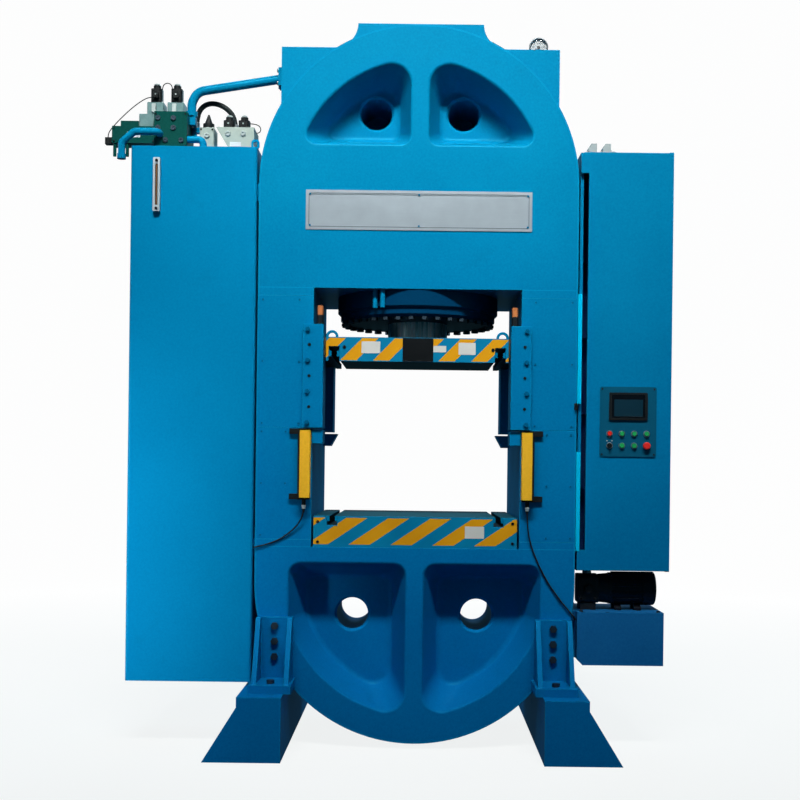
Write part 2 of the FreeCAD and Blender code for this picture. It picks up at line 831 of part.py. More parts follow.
def make_gauge_needle():
    """The pointer, on the dial's centre pin."""
    y0 = gauge_y + gauge_rim
    centre_z = crown_shoulder + gauge_stem + gauge_radius
    hub = rod(gauge_rim, point(gauge_x, y0, centre_z), along_y, needle_sheet)
    tip_z = centre_z + needle_length
    root = 3 * needle_tip
    hand = profile_xz([(gauge_x - root, centre_z), (gauge_x - needle_tip, tip_z),
                       (gauge_x + needle_tip, tip_z), (gauge_x + root, centre_z)], y0, y0 + needle_sheet)
    hand.rotate(point(gauge_x, y0, centre_z), along_y, -needle_zero)
    bore = rod(gauge_rim / 2 + needle_clearance, point(gauge_x, y0, centre_z), along_y, needle_sheet)
    return joined([hub, hand]).cut(bore)


def make_foot():
    """Right foot: a long casting with a sloping outer side."""
    reach = half_depth + foot_overhang
    outline = [(foot_inner, floor_z), (foot_outer, floor_z), (foot_shoulder, foot_top - foot_edge),
               (foot_shoulder, foot_top), (foot_inner, foot_top)]
    return profile_xz(outline, -reach, reach)


def make_foot_bracket():
    """Front right bracket: back plate, base plate and two cheeks that widen downwards."""
    half = bracket_width / 2
    front = frame_front
    back = box(bracket_x - half, bracket_x + half, front - bracket_plate, front,
               foot_top + bracket_base, bracket_top)
    half_base = bracket_base_width / 2
    base = box(bracket_x - half_base, bracket_x + half_base, front - bracket_reach, front,
               foot_top, foot_top + bracket_base)
    outline = [(front, foot_top + bracket_base), (front - bracket_reach + bracket_cheek,
               foot_top + bracket_base), (front - bracket_top_reach, bracket_top), (front, bracket_top)]
    cheek = profile_yz(outline, bracket_x - half, bracket_x - half + bracket_cheek)
    other = profile_yz(outline, bracket_x + half - bracket_cheek, bracket_x + half)
    return joined([back, base, cheek, other])


def make_foot_bolts():
    """Hexagon bolts of the four brackets: three in the back plate, one in the base."""
    bolts = []
    for index in range(bracket_bolt_count):
        z = bracket_bolt_top - index * bracket_bolt_pitch
        start = point(bracket_x, frame_front - bracket_plate, z)
        bolts += all_corners(hexagon(foot_bolt_radius, start, point(0, -1, 0), foot_bolt_head))
    anchor = point(bracket_x, frame_front - bracket_reach + anchor_setback, foot_top + bracket_base)
    bolts += all_corners(hexagon(foot_bolt_radius, anchor, up, foot_bolt_head))
    return bolts


def t_slot(face_z, into):
    """The cutting tool of a T-slot at the right of a table face; into is +1 upwards, -1 down."""
    y0 = -frame_depth
    y1 = frame_depth
    half_throat = t_slot_throat / 2
    half_head = t_slot_head / 2
    deep = face_z + into * t_slot_depth
    shelf = deep - into * t_slot_head_height
    throat = box(t_slot_x - half_throat, t_slot_x + half_throat, y0, y1, face_z, deep)
    head = box(t_slot_x - half_head, t_slot_x + half_head, y0, y1, shelf, deep)
    return joined([throat, head])


def make_bolster():
    """The fixed table plate with two T-slots."""
    plate = box(-bolster_half, bolster_half, -table_half_depth, table_half_depth, bolster_floor, 0)
    return plate.cut(both_sides(t_slot(0, -1)))


def make_bolster_apron():
    """The front plate of the bolster, open round the ends of the T-slots."""
    y1 = -table_half_depth
    plate = box(-bolster_half, bolster_half, y1 - apron_sheet, y1, bolster_floor, 0)
    half = t_slot_head / 2 + apron_notch
    mouth = box(t_slot_x - half, t_slot_x + half, y1 - apron_sheet, y1, -t_slot_depth - apron_notch, 0)
    return plate.cut(both_sides(mouth))


def wing_half_depth():
    """Half depth of the slide's guide wings, between the front and rear guides."""
    return half_depth - guide_inner_depth - wear_plate - guide_clearance


def slide_wing():
    """Right guide wing of the slide."""
    depth = wing_half_depth()
    return box(slide_half, slide_half + wing_reach, -depth, depth, slide_bottom, slide_top)


def lifting_eye():
    """A ring bolt on the slide's upper face."""
    y0 = eye_y - eye_wire
    start = point(eye_x, y0, slide_top + eye_ring / 3)
    ring = rod(eye_ring + eye_wire, start, along_y, 2 * eye_wire)
    hole = rod(eye_ring - eye_wire, start, along_y, 2 * eye_wire)
    below = box(eye_x - 2 * eye_ring, eye_x + 2 * eye_ring, y0, y0 + 2 * eye_wire, slide_bottom, slide_top)
    ring = ring.makeChamfer(eye_wire / 2, [edge for edge in ring.Edges if edge.BoundBox.YLength < 0.1])
    return ring.cut([hole, below])


def make_slide():
    """The moving beam: plate, guide wings, T-slots, ram seat and lifting eyes."""
    plate = box(-slide_half, slide_half, -table_half_depth, table_half_depth, slide_bottom, slide_top)
    plate = joined([plate] + both_sides(slide_wing()) + both_sides(lifting_eye()))
    seat = rod(ram_radius + fit, point(0, 0, slide_top - ram_socket), up, ram_socket)
    return plate.cut(both_sides(t_slot(slide_bottom, 1)) + [seat])


def make_slide_apron():
    """The front plate of the slide, which hangs a little under its lower face."""
    y1 = -table_half_depth
    low = slide_bottom - slide_apron_drop
    plate = box(-slide_apron_half, slide_apron_half, y1 - apron_sheet, y1, low, slide_top)
    half = t_slot_head / 2 + apron_notch
    mouth = box(t_slot_x - half, t_slot_x + half, y1 - apron_sheet, y1, low,
                slide_bottom + t_slot_depth + apron_notch)
    return plate.cut(both_sides(mouth))


def make_wear_plates():
    """Bronze plates on the wings' front and rear faces and beside the guides."""
    depth = wing_half_depth()
    facing = box(slide_half, slide_half + wing_reach, -depth - wear_plate, -depth, slide_bottom, slide_top)
    inner = window_half - guide_reach - guide_clearance
    side = box(slide_half, inner, -half_depth + guide_inner_depth / 3,
               -depth - wear_plate - guide_clearance, slide_bottom, slide_top)
    return all_corners(facing) + all_corners(side)


def make_front_guide():
    """Right front guide block: a flange on the column's face and a leg into the window."""
    x0 = window_half - guide_reach
    proud = frame_front - guide_proud
    inner_y = frame_front + guide_inner_depth
    seat_y = frame_front + cover_sheet
    outline = [(x0, proud), (window_half + guide_flange, proud), (window_half + guide_flange, seat_y),
               (window_half, seat_y), (window_half, inner_y), (x0, inner_y)]
    corners = [point(x, y, guide_bottom) for x, y in outline]
    face = Part.Face(Part.makePolygon(corners + corners[:1]))
    block = face.extrude(point(0, 0, guide_top - guide_bottom))
    outer = [edge for edge in edges_along(block, up) if abs(edge.BoundBox.YMin - proud) < 0.1]
    return block.makeChamfer(guide_chamfer, outer)


def make_front_stop():
    """Right front stop block under its guide."""
    x0 = window_half - guide_reach
    y0 = frame_front - guide_proud / 2
    return box(x0, window_half, y0, frame_front + stop_front_depth, stop_top - stop_height, stop_top)


def make_rear_stop():
    """Right rear stop: a wedge whose lower inner corner is cut away."""
    x0 = window_half - stop_rear_reach
    low = stop_top - stop_height
    outline = [(window_half, stop_top), (x0, stop_top), (x0 + stop_slant, low), (window_half, low)]
    return profile_xz(outline, half_depth - stop_front_depth, half_depth)


def make_guide_bolts():
    """Cap bolts through the flanges of the four guide blocks."""
    x = window_half + guide_bolt_inset
    y = frame_front - guide_proud
    span = guide_top - guide_bottom - 2 * guide_bolt_end
    bolts = []
    for index in range(guide_bolt_count):
        z = guide_bottom + guide_bolt_end + span * index / (guide_bolt_count - 1)
        bolts += all_corners(hexagon(guide_bolt_radius, point(x, y, z), point(0, -1, 0), guide_bolt_head))
    return bolts


def make_lubricator():
    """Right lubricator: a collar and a tall bowl on top of the front guide."""
    x = window_half - guide_reach + lubricator_collar + lubricator_gap
    y = frame_front + lubricator_setback
    collar = rod(lubricator_collar, point(x, y, guide_top), up, lubricator_collar_height)
    bowl = rod(lubricator_radius, point(x, y, guide_top), up, lubricator_height)
    bowl = bowl.makeChamfer(lubricator_radius / 4, [bowl.Edges[0]])
    return joined([collar, bowl])


def make_main_cylinder():
    """Cylinder pot: a barrel seated in the upper beam and a wide flange under it."""
    half_corner = flange_height / 8
    outline = [
        (cylinder_bore, cylinder_bottom), (flange_radius - half_corner, cylinder_bottom),
        (flange_radius, cylinder_bottom + half_corner), (flange_radius, window_top),
        (barrel_radius, window_top), (barrel_radius, barrel_top), (0, barrel_top),
        (0, barrel_top - cylinder_head), (cylinder_bore, barrel_top - cylinder_head),
    ]
    corners = [point(x, 0, z) for x, z in outline]
    face = Part.Face(Part.makePolygon(corners + corners[:1]))
    return face.revolve(point(0, 0, 0), up, 360)


def make_gland_ring():
    """The bolted ring that closes the cylinder round the ram."""
    bore = ram_radius + ram_clearance
    bottom = gland_bottom
    shoulder = cylinder_bottom
    top = shoulder + gland_spigot
    bevel = gland_height / 3
    outline = [
        (bore, bottom), (gland_radius - bevel, bottom), (gland_radius, bottom + bevel),
        (gland_radius, shoulder), (cylinder_bore - fit, shoulder), (cylinder_bore - fit, top), (bore, top),
    ]
    corners = [point(x, 0, z) for x, z in outline]
    face = Part.Face(Part.makePolygon(corners + corners[:1]))
    return face.revolve(point(0, 0, 0), up, 360)


def make_gland_bolts():
    """Hexagon bolts on a circle under the gland ring."""
    bolts = []
    for index in range(gland_bolt_count):
        angle = 2 * math.pi * (index + 0.5) / gland_bolt_count
        start = point(gland_bolt_circle * math.cos(angle), gland_bolt_circle * math.sin(angle), gland_bottom)
        bolts.append(hexagon(gland_bolt_radius, start, point(0, 0, -1), gland_bolt_head))
    return bolts


def piston_top_z():
    return barrel_top - cylinder_head - piston_top_gap


def make_main_ram():
    """Piston and ram in one: the piston fills the bore, the ram seats in the slide."""
    top = piston_top_z()
    low = top - piston_length
    outline = [(0, slide_top - ram_socket), (ram_radius, slide_top - ram_socket), (ram_radius, low)]
    radius = cylinder_bore - ram_clearance
    outline += [(radius, low)]
    for index in range(seal_count):
        z = low + piston_length / 2 + (index - (seal_count - 1) / 2) * seal_pitch
        half = seal_section / 2
        outline += [(radius, z - half), (radius - seal_section, z - half)]
        outline += [(radius - seal_section, z + half), (radius, z + half)]
    outline += [(radius, top), (0, top)]
    corners = [point(x, 0, z) for x, z in outline]
    face = Part.Face(Part.makePolygon(corners + corners[:1]))
    return face.revolve(point(0, 0, 0), up, 360)


def ring(outer, inner, z0, z1):
    """A flat ring about the press axis."""
    disc = rod(outer, point(0, 0, z0), up, z1 - z0)
    return disc.cut(rod(inner, point(0, 0, z0), up, z1 - z0))


def make_ram_seals():
    """Piston rings in their grooves; they ride with the ram."""
    low = piston_top_z() - piston_length
    radius = cylinder_bore - ram_clearance
    rings = []
    for index in range(seal_count):
        z = low + piston_length / 2 + (index - (seal_count - 1) / 2) * seal_pitch
        half = seal_section / 2 - fit
        rings.append(ring(cylinder_bore - fit, radius - seal_section + fit, z - half, z + half))
    return rings


def make_light_curtain():
    """Right bar of the light curtain, with its lens groove towards the window."""
    y1 = frame_front - curtain_standoff
    y0 = y1 - curtain_depth
    x0 = curtain_x - curtain_width / 2
    x1 = curtain_x + curtain_width / 2
    bar = box(x0, x1, y0, y1, curtain_bottom, curtain_top)
    bar = bar.makeFillet(curtain_edge, edges_along(bar, up))
    lens = box(x0, x0 + curtain_lens, y0 + curtain_depth / 4, y1 - curtain_depth / 4,
               curtain_bottom, curtain_top)
    return bar.cut(lens)


def make_curtain_clamp(upper):
    """End cap of a bar with its arm and foot on the column; the lower one has the lead's gland."""
    y1 = frame_front - curtain_standoff
    y0 = y1 - curtain_depth
    half = curtain_width / 2 - curtain_edge / 3
    edge = curtain_top if upper else curtain_bottom
    far = edge + clamp_cap if upper else edge - clamp_cap
    cap = box(curtain_x - half, curtain_x + half, y0, y1, edge, far)
    arm_z = edge - clamp_height / 2 if upper else edge + clamp_height / 2
    outside = curtain_x + curtain_width / 2
    arm = box(outside, outside + clamp_arm, frame_front - clamp_thickness, frame_front, far, arm_z)
    bridge = box(curtain_x, outside + clamp_cap, y1 - clamp_cap, y1, edge, far)
    web = box(outside, outside + clamp_cap, y1 - clamp_cap, frame_front, far, arm_z)
    parts = [cap, bridge, web, arm]
    if not upper:
        nut = rod(gland_nut_radius, point(curtain_x, y0 + curtain_depth / 2, far - gland_nut_length), up,
                  gland_nut_length)
        parts.append(nut)
    return joined(parts)


def make_curtain_clamps():
    return both_sides(make_curtain_clamp(True)) + both_sides(make_curtain_clamp(False))


def make_left_lead():
    return lead(from_front(left_lead_points), lead_radius, "left curtain lead")


def make_right_lead():
    return lead(from_front(right_lead_points), lead_radius, "right curtain lead")


def mounting_pad(z, height):
    """A pad that bridges the seam on the frame's left side."""
    y0 = frame_front + pad_setback
    return box(-side_wall, -frame_outer, y0, y0 + pad_depth, z, z + height)


def make_oil_tank():
    """A welded sheet tank with rounded upright edges, hung on the frame's left side."""
    x0 = -side_wall - tank_width
    y0 = frame_front
    shell = box(x0, -side_wall, y0, y0 + tank_depth, tank_bottom, tank_top)
    shell = shell.makeFillet(tank_edge, edges_along(shell, up))
    pads = [mounting_pad(z, pad_height) for z in (left_lead_points[-1][2] - pad_height / 2,
                                                  upper_arc_z - pad_height)]
    return joined([shell] + pads)


def make_level_gauge():
    """A sight glass in a flat metal frame on the tank's front."""
    y1 = frame_front
    y0 = y1 - level_thickness
    half = level_width / 2
    low = level_z - level_height / 2
    high = level_z + level_height / 2
    body = box(level_x - half, level_x + half, y0, y1, low, high)
    body = body.makeFillet(half / 3, edges_along(body, along_y))
    inset = (level_width - level_glass) / 2
    window = box(level_x - level_glass / 2, level_x + level_glass / 2, y0, y0 + level_thickness / 3,
                 low + 3 * inset, high - 3 * inset)
    return body.cut(window)


def make_manifold():
    """The main valve block, with a shoulder for the left valve."""
    y0 = manifold_y - manifold_depth / 2
    half = manifold_width / 2
    block = box(manifold_x - half, manifold_x + half, y0, y0 + manifold_depth, tank_top,
                tank_top + manifold_height)
    block = block.makeChamfer(cabinet_wall, edges_along(block, up))
    x1 = manifold_x - half
    low = tank_top + side_valve_rise
    side_y = manifold_y - side_valve_depth / 2
    side = box(x1 - side_valve_width, x1, side_y, side_y + side_valve_depth, low, low + side_valve_height)
    cap_left, cap_right = [x1 - side_valve_width * share for share in side_valve_cap]
    cap = box(cap_left, cap_right, side_y, side_y + side_valve_depth,
              low + side_valve_height, low + side_valve_height + side_valve_cap_height)
    stubs = []
    for share in side_stub_places:
        x = x1 - side_valve_width * share
        start = point(x, manifold_y - side_stub_front, low - stub_height)
        stub = rod(stub_radius, start, up, stub_height)
        stubs.append(stub)
    return joined([block, side, cap] + stubs)


def valve_body(x, z, width, height, depth, y):
    """A valve body with its upright edges broken."""
    body = box(x - width / 2, x + width / 2, y - depth / 2, y + depth / 2, z, z + height)
    return body.makeChamfer(cabinet_wall, edges_along(body, up))


def pilot_places():
    """Axes of the two pilot valves on the manifold."""
    return [pilot_valve_x - pilot_valve_pitch / 2, pilot_valve_x + pilot_valve_pitch / 2]


def twin_places():
    """Axes of the two coils on the right valve block."""
    return [twin_right - twin_coil_inset - twin_pitch, twin_right - twin_coil_inset]


def make_valve_blocks():
    """Light valve bodies: two on the manifold, one beside it, two on the tank's lid."""
    top = tank_top + manifold_height
    bodies = [valve_body(x, top, pilot_valve_width, pilot_valve_height, pilot_valve_depth, manifold_y)
              for x in pilot_places()]
    shoulder_x = manifold_x - manifold_width / 2 - shoulder_valve_width / 2
    bodies.append(valve_body(shoulder_x, top - shoulder_valve_height, shoulder_valve_width,
                             shoulder_valve_height, pilot_valve_depth, manifold_y))
    bodies.append(valve_body(relief_x, tank_top, relief_width, relief_height, relief_depth, manifold_y))
    left = twin_right - twin_width
    outline = [(left + twin_slant, tank_top), (twin_right, tank_top),
               (twin_right, tank_top + twin_height), (left, tank_top + twin_height)]
    bodies.append(profile_xz(outline, manifold_y - twin_depth / 2, manifold_y + twin_depth / 2))
    return bodies


def coil(x, z, height):
    """A solenoid coil with its round cap, standing on a valve body."""
    body = box(x - coil_radius, x + coil_radius, manifold_y - coil_radius, manifold_y + coil_radius,
               z, z + height)
    body = body.makeFillet(coil_radius / 2, edges_along(body, up))
    cap = rod(coil_cap, point(x, manifold_y, z + height), up, coil_cap_height)
    return joined([body, cap])


def make_relief_head():
    """The relief valve's setting screw under a pointed cap."""
    start = point(relief_x, manifold_y, tank_top + relief_height)
    body = rod(coil_radius, start, up, lid_coil_height - coil_cap_height)
    tip_start = start + up * (lid_coil_height - coil_cap_height)
    tip = Part.makeCone(relief_tip_radius, stub_radius / 2, relief_tip_height, tip_start, up)
    return joined([body, tip])


def pilot_top():
    return tank_top + manifold_height + pilot_valve_height


def make_valve_solenoids():
    """The four coils, the relief valve's head and the plug on the side valve."""
    coils = [coil(x, pilot_top(), pilot_coil_height) for x in pilot_places()]
    coils += [coil(x, tank_top + twin_height, lid_coil_height) for x in twin_places()]
    return coils + [make_relief_head(), make_side_plug()]


def main_pipe_route():
    """From the manifold's upper right corner up and over to the crown's left side."""
    x0 = manifold_x + manifold_width / 2 + main_pipe_inset
    base = tank_top + manifold_height + pipe_collar_length
    return [(x0, main_pipe_y, base),
            (x0 + main_pipe_first[0], main_pipe_y, base + main_pipe_first[1]),
            (x0 + main_pipe_second[0], main_pipe_y, main_pipe_z - main_pipe_second[1]),
            (-crown_half - pipe_collar_length / 2, main_pipe_y, main_pipe_z)]


def make_main_pipe():
    """The thick pipe with its union nut, its stub on the manifold and its flange on the crown."""
    route = main_pipe_route()
    main = pipe(route, main_pipe_radius, main_pipe_radius * 3)
    flange_x = -crown_half - pipe_collar_length
    reach = main_pipe_radius + 3 * pipe_collar
    plate = box(flange_x, -crown_half, main_pipe_y - reach, main_pipe_y + reach,
                main_pipe_z - reach, main_pipe_z + reach)
    start = point(*route[0])
    nut = rod(main_pipe_radius + pipe_collar, start, point(0, 0, -1), pipe_collar_length)
    stub_x = manifold_x + manifold_width / 2
    stub_top = start.z - pipe_collar_length
    stub = box(stub_x, start.x + main_pipe_radius, main_pipe_y - main_pipe_radius,
               main_pipe_y + main_pipe_radius, stub_top - main_pipe_radius * 2, stub_top)
    return joined([main, plate, nut, stub])


def make_left_pipe():
    """The pipe from the manifold's face over the lid's edge and down beside the tank."""
    front = manifold_y - manifold_depth / 2
    tank_left = -side_wall - tank_width
    y = front - 2 * small_pipe_radius - pipe_collar
    start_x = manifold_x + left_pipe_start[0]
    start_z = tank_top + left_pipe_start[1]
    points = [(start_x, front, start_z), (start_x, y, start_z)]
    points += [(tank_left + dx, y, tank_top + dz) for dx, dz in left_pipe_steps]
    body = pipe(points, small_pipe_radius, left_pipe_bend)
    nut = rod(small_pipe_radius + pipe_collar / 2, point(*points[-1]), point(0, 0, -1), pipe_collar_length)
    return joined([body, nut])


def make_right_pipe():
    """The short return pipe from the manifold's side down into the lid."""
    x = manifold_x + manifold_width / 2
    y = manifold_y - manifold_depth / 2 + right_pipe_setback
    z = tank_top + right_pipe_height
    points = [(x, y, z), (x + right_pipe_reach, y, z), (x + right_pipe_reach, y, tank_top)]
    return pipe(points, small_pipe_radius, right_pipe_bend)


def make_pilot_pipes():
    """The twin bright pipes that stand in front of the cylinder's flange."""
    pipes = []
    for step in (-0.5, 0.5):
        x = pilot_pipe_x + step * pilot_pipe_pitch
        y = -math.sqrt((flange_radius + pilot_pipe_radius + fit) ** 2 - x ** 2)
        pipes.append(rod(pilot_pipe_radius, point(x, y, cylinder_bottom), up, flange_height))
    return pipes


def make_oil_pipes():
    """The rigid pipes and the fittings of the hose."""
    pipes = [make_main_pipe(), make_left_pipe(), make_right_pipe()]
    return pipes + make_pilot_pipes() + make_hose_fittings()


def hose_route():
    """Points of the arched hose, from the manifold's right fitting to the twin valve block."""
    x0 = manifold_x + manifold_width / 2 + hose_radius + pipe_collar
    y = manifold_y + hose_setback
    base = tank_top + hose_foot
    top = tank_top + twin_height + coil_cap
    end_x = twin_places()[0] + hose_radius + pipe_collar
    span = end_x - x0
    points = [(x0 + share * span, y, base + height) for share, height in hose_arch]
    return points + [(end_x, y, top)]


def make_pressure_hose():
    """A black hose in one high arch, between two fittings."""
    return lead(hose_route(), hose_radius, "pressure hose")


def make_hose_fittings():
    """The hose's two nuts, the first with its stub on the manifold's side."""
    route = hose_route()
    first = point(*route[0])
    last = point(*route[-1])
    nut = rod(hose_radius + pipe_collar, first, point(0, 0, -1), pipe_collar_length)
    stub_x = manifold_x + manifold_width / 2
    stub = box(stub_x, first.x, first.y - hose_radius, first.y + hose_radius,
               first.z - pipe_collar_length - 2 * hose_radius, first.z - pipe_collar_length / 2)
    far = rod(hose_radius + pipe_collar, point(last.x, last.y, tank_top + twin_height), up, coil_cap)
    return [joined([nut, stub]), far]


def make_coil_arch():
    """A thin lead in a half circle between the tops of the two pilot coils."""
    left, right = pilot_places()
    x0 = left + coil_radius - thin_lead_radius
    x1 = right - coil_radius + thin_lead_radius
    radius = (x1 - x0) / 2
    z = pilot_top() + pilot_coil_height
    points = [(x0, manifold_y, z)]
    for step in range(arch_steps + 1):
        angle = math.pi * (1 - step / arch_steps)
        points.append(((x0 + x1) / 2 + radius * math.cos(angle), manifold_y,
                       z + arch_rise + radius * math.sin(angle)))
    return lead(points + [(x1, manifold_y, z)], thin_lead_radius, "coil arch")


def long_lead_route():
    """Points of the lead from the left pilot coil down to the plug on the side valve's end."""
    x0 = pilot_places()[0] - coil_radius
    z0 = pilot_top() + pilot_coil_height * pilot_lead_share
    return [(x0 + dx, manifold_y, z0 + dz) for dx, dz in long_lead_steps]


def make_long_coil_lead():
    return lead(long_lead_route(), thin_lead_radius, "long coil lead")


def make_side_plug():
    """The square plug under the long lead, on the side valve's end."""
    valve_end = manifold_x - manifold_width / 2 - side_valve_width
    plug_top = long_lead_route()[-1][2]
    return box(valve_end - plug_length, valve_end, manifold_y - plug_half, manifold_y + plug_half,
               plug_top - 2 * plug_half, plug_top)


def make_coil_loop():
    """A lead that leaves the right coil, turns over and enters the valve block's side."""
    x0 = twin_places()[1] + coil_radius
    z0 = tank_top + twin_height + lid_coil_height * lid_lead_share
    points = [(x0 + dx, manifold_y, z0 + dz) for dx, dz in coil_loop_steps]
    end_z = points[-1][2]
    return lead(points + [(twin_right, manifold_y, end_z)], thin_lead_radius, "coil loop")


def make_solenoid_leads():
    return [make_coil_arch(), make_long_coil_lead(), make_coil_loop()]


def cabinet_right():
    return side_wall + cabinet_width


def hinge_axis():
    """Place of the door's hinge axis: x and y."""
    return cabinet_right() - door_edge - hinge_inset, cabinet_front - door_thickness / 2


def make_cabinet_shell():
    """A folded sheet cabinet, open in front, with pads to the frame and two hinge ears."""
    x0 = side_wall
    x1 = cabinet_right()
    y0 = cabinet_front + door_gap
    y1 = y0 + cabinet_depth
    shell = box(x0, x1, y0, y1, cabinet_bottom, cabinet_top)
    wall = cabinet_wall
    room = box(x0 + wall, x1 - wall, y0 + wall, y1 - wall, cabinet_bottom + wall, cabinet_top - wall)
    rim = cabinet_flange
    mouth = box(x0 + rim, x1 - rim, y0, y0 + wall, cabinet_bottom + rim, cabinet_top - rim)
    shell = shell.cut([room, mouth])
    pads = []
    for z in (cabinet_bottom + pad_height, upper_arc_z - 2 * pad_height):
        pads.append(box(frame_outer, x0, y0 + pad_setback, y0 + pad_setback + pad_depth, z, z + pad_height))
    axis_x, axis_y = hinge_axis()
    reach = hinge_inset
    ears = []
    for z, sense in ((cabinet_top, -1), (cabinet_bottom, 1)):
        ear = box(axis_x - reach, axis_x + reach, axis_y - hinge_pin * 1.5, y0, z, z + sense * hinge_ear)
        pin = rod(hinge_pin, point(axis_x, axis_y, z), point(0, 0, sense), hinge_pin_length)
        ears += [ear, pin]
    return joined([shell] + pads + ears)


def make_cabinet_door():
    """A tray-shaped door with a rounded top left corner and a long grip notch on its left."""
    x0 = side_wall - door_edge / 3
    x1 = cabinet_right() - door_edge
    y1 = cabinet_front
    y0 = y1 - door_thickness
    gap = hinge_ear + door_edge / 2
    low = cabinet_bottom + gap
    high = cabinet_top - gap
    tray = box(x0, x1, y0, y1, low, high)
    corner = [edge for edge in edges_along(tray, along_y)
              if abs(edge.BoundBox.XMin - x0) < 0.1 and abs(edge.BoundBox.ZMin - high) < 0.1]
    tray = tray.makeFillet(door_corner, corner)
    notch = box(x0, x0 + door_notch_width, y0, y1, door_notch_bottom, door_notch_top)
    sheet = door_sheet
    room = box(x0 + door_notch_width + sheet, x1 - sheet, y0 + sheet, y1, low + sheet, high - sheet)
    axis_x, axis_y = hinge_axis()
    holes = []
    for z, sense in ((cabinet_top, -1), (cabinet_bottom, 1)):
        holes.append(rod(hinge_pin + hinge_clearance, point(axis_x, axis_y, z), point(0, 0, sense),
                         hinge_pin_length * 2))
    return tray.cut([notch, room] + holes)


def make_switchgear():
    """Mounting plate on four spacers, with rows of switching devices on its face."""
    x0 = side_wall + plate_margin
    x1 = cabinet_right() - plate_margin
    z0 = cabinet_bottom + plate_margin
    z1 = cabinet_top - plate_margin
    back = cabinet_front + door_gap + cabinet_depth - cabinet_wall
    y1 = back - plate_standoff
    y0 = y1 - plate_sheet
    plate = box(x0, x1, y0, y1, z0, z1)
    parts = [plate]
    for x in (x0 + plate_margin, x1 - plate_margin):
        for z in (z0 + plate_margin, z1 - plate_margin):
            parts.append(rod(plate_standoff / 3, point(x, y1, z), along_y, plate_standoff))
    pitch_x = (x1 - x0) / device_columns
    pitch_z = (z1 - z0) / (device_rows + 1)
    for row in range(device_rows):
        z = z0 + pitch_z * (row + 1)
        rail = box(x0 + plate_sheet, x1 - plate_sheet, y0 - rail_depth, y0, z - rail_half, z + rail_half)
        parts.append(rail)
        for column in range(device_columns):
            x = x0 + pitch_x * (column + 0.5)
            depth = device_depth * (1.0 - device_step * ((row + column) % 2))
            half = pitch_x * device_fill
            tall = half * device_tall
            parts.append(box(x - half, x + half, y0 - depth, y0, z - tall, z + tall))
    return joined(parts)


def door_face():
    """Y of the door's front face."""
    return cabinet_front - door_thickness


def make_control_panel():
    """The operator plate on the door, with a seat for the screen and eight button holes."""
    y1 = door_face()
    y0 = y1 - panel_sheet
    half = panel_width / 2
    plate = box(panel_x - half, panel_x + half, y0, y1, panel_z - panel_height / 2,
                panel_z + panel_height / 2)
    plate = plate.makeFillet(panel_corner, edges_along(plate, along_y))
    guards = []
    holes = []
    for x, z, kind in button_places():
        outer = mushroom_collar if kind == "mushroom" else button_bezel
        guards.append(rod(outer, point(x, y0, z), point(0, -1, 0), button_bezel_height))
        holes.append(rod(button_stem + fit, point(x, y0 - button_bezel_height, z), along_y,
                         panel_sheet + button_bezel_height))
    return joined([plate] + guards).cut(holes)


def button_places():
    """Centre and kind of the eight controls: two rows of four."""
    places = []
    kinds = [["flat", "flat", "flat", "flat"], ["selector", "flat", "flat", "mushroom"]]
    for z, row in zip((button_row_upper, button_row_lower), kinds):
        for index, kind in enumerate(row):
            places.append((panel_x + (index - 1.5) * button_pitch, z, kind))
    return places


def make_touch_screen():
    """The screen's raised bezel with its glass set back."""
    y1 = door_face() - panel_sheet
    y0 = y1 - screen_thickness
    half = screen_width / 2
    low = screen_z - screen_height / 2
    high = screen_z + screen_height / 2
    bezel = box(panel_x - half, panel_x + half, y0, y1, low, high)
    bezel = bezel.makeFillet(screen_corner, edges_along(bezel, along_y))
    glass = box(panel_x - half + screen_rim, panel_x + half - screen_rim, y0, y0 + screen_setback,
                low + screen_rim_high, high - screen_rim_high)
    return bezel.cut(glass)


def make_button(x, z, kind):
    """One control: a head in front of its collar and a stem through the plate."""
    face = door_face() - panel_sheet - button_bezel_height
    out = point(0, -1, 0)
    if kind == "mushroom":
        seat = face - mushroom_travel - fit
        stem = rod(button_stem, point(x, seat, z), along_y, mushroom_travel + fit + button_bezel_height)
        head = rod(mushroom_radius, point(x, seat, z), out, mushroom_height / 2)
        head = head.makeFillet(mushroom_height / 4, [edge for edge in head.Edges
                               if abs(edge.BoundBox.YMax - head.BoundBox.YMin) < 0.1])
        return joined([stem, head])
    if kind == "selector":
        stem = rod(button_stem, point(x, face - fit, z), along_y, button_bezel_height)
        disc = rod(button_radius, point(x, face - fit, z), out, button_bezel_height)
        half = selector_grip / 2
        grip = box(x - half, x + half, face - fit, face - fit - selector_height,
                   z - selector_reach, z + selector_reach)
        return joined([stem, disc, grip])
    seat = face - button_travel - fit
    stem = rod(button_stem, point(x, seat, z), along_y, button_travel + fit + button_bezel_height)
    head = rod(button_radius, point(x, seat, z), out, button_height / 2)
    head = head.makeChamfer(button_height / 8, [edge for edge in head.Edges
                            if abs(edge.BoundBox.YMax - head.BoundBox.YMin) < 0.1])
    return joined([stem, head])


def make_plug(x):
    """A square plug with a sloping shoulder, on a metal base on the cabinet's top."""
    half = connector_width / 2
    y0 = connector_y - connector_depth / 2
    y1 = connector_y + connector_depth / 2
    rim = connector_rim
    low = cabinet_top + connector_base
    top = low + connector_height
    base = box(x - half - rim, x + half + rim, y0 - rim, y1 + rim, cabinet_top, low)
    outline = [(x - half, low), (x + half, low), (x + half, top), (x - half / 3, top), (x - half, top - half)]
    return joined([base, profile_xz(outline, y0, y1)])


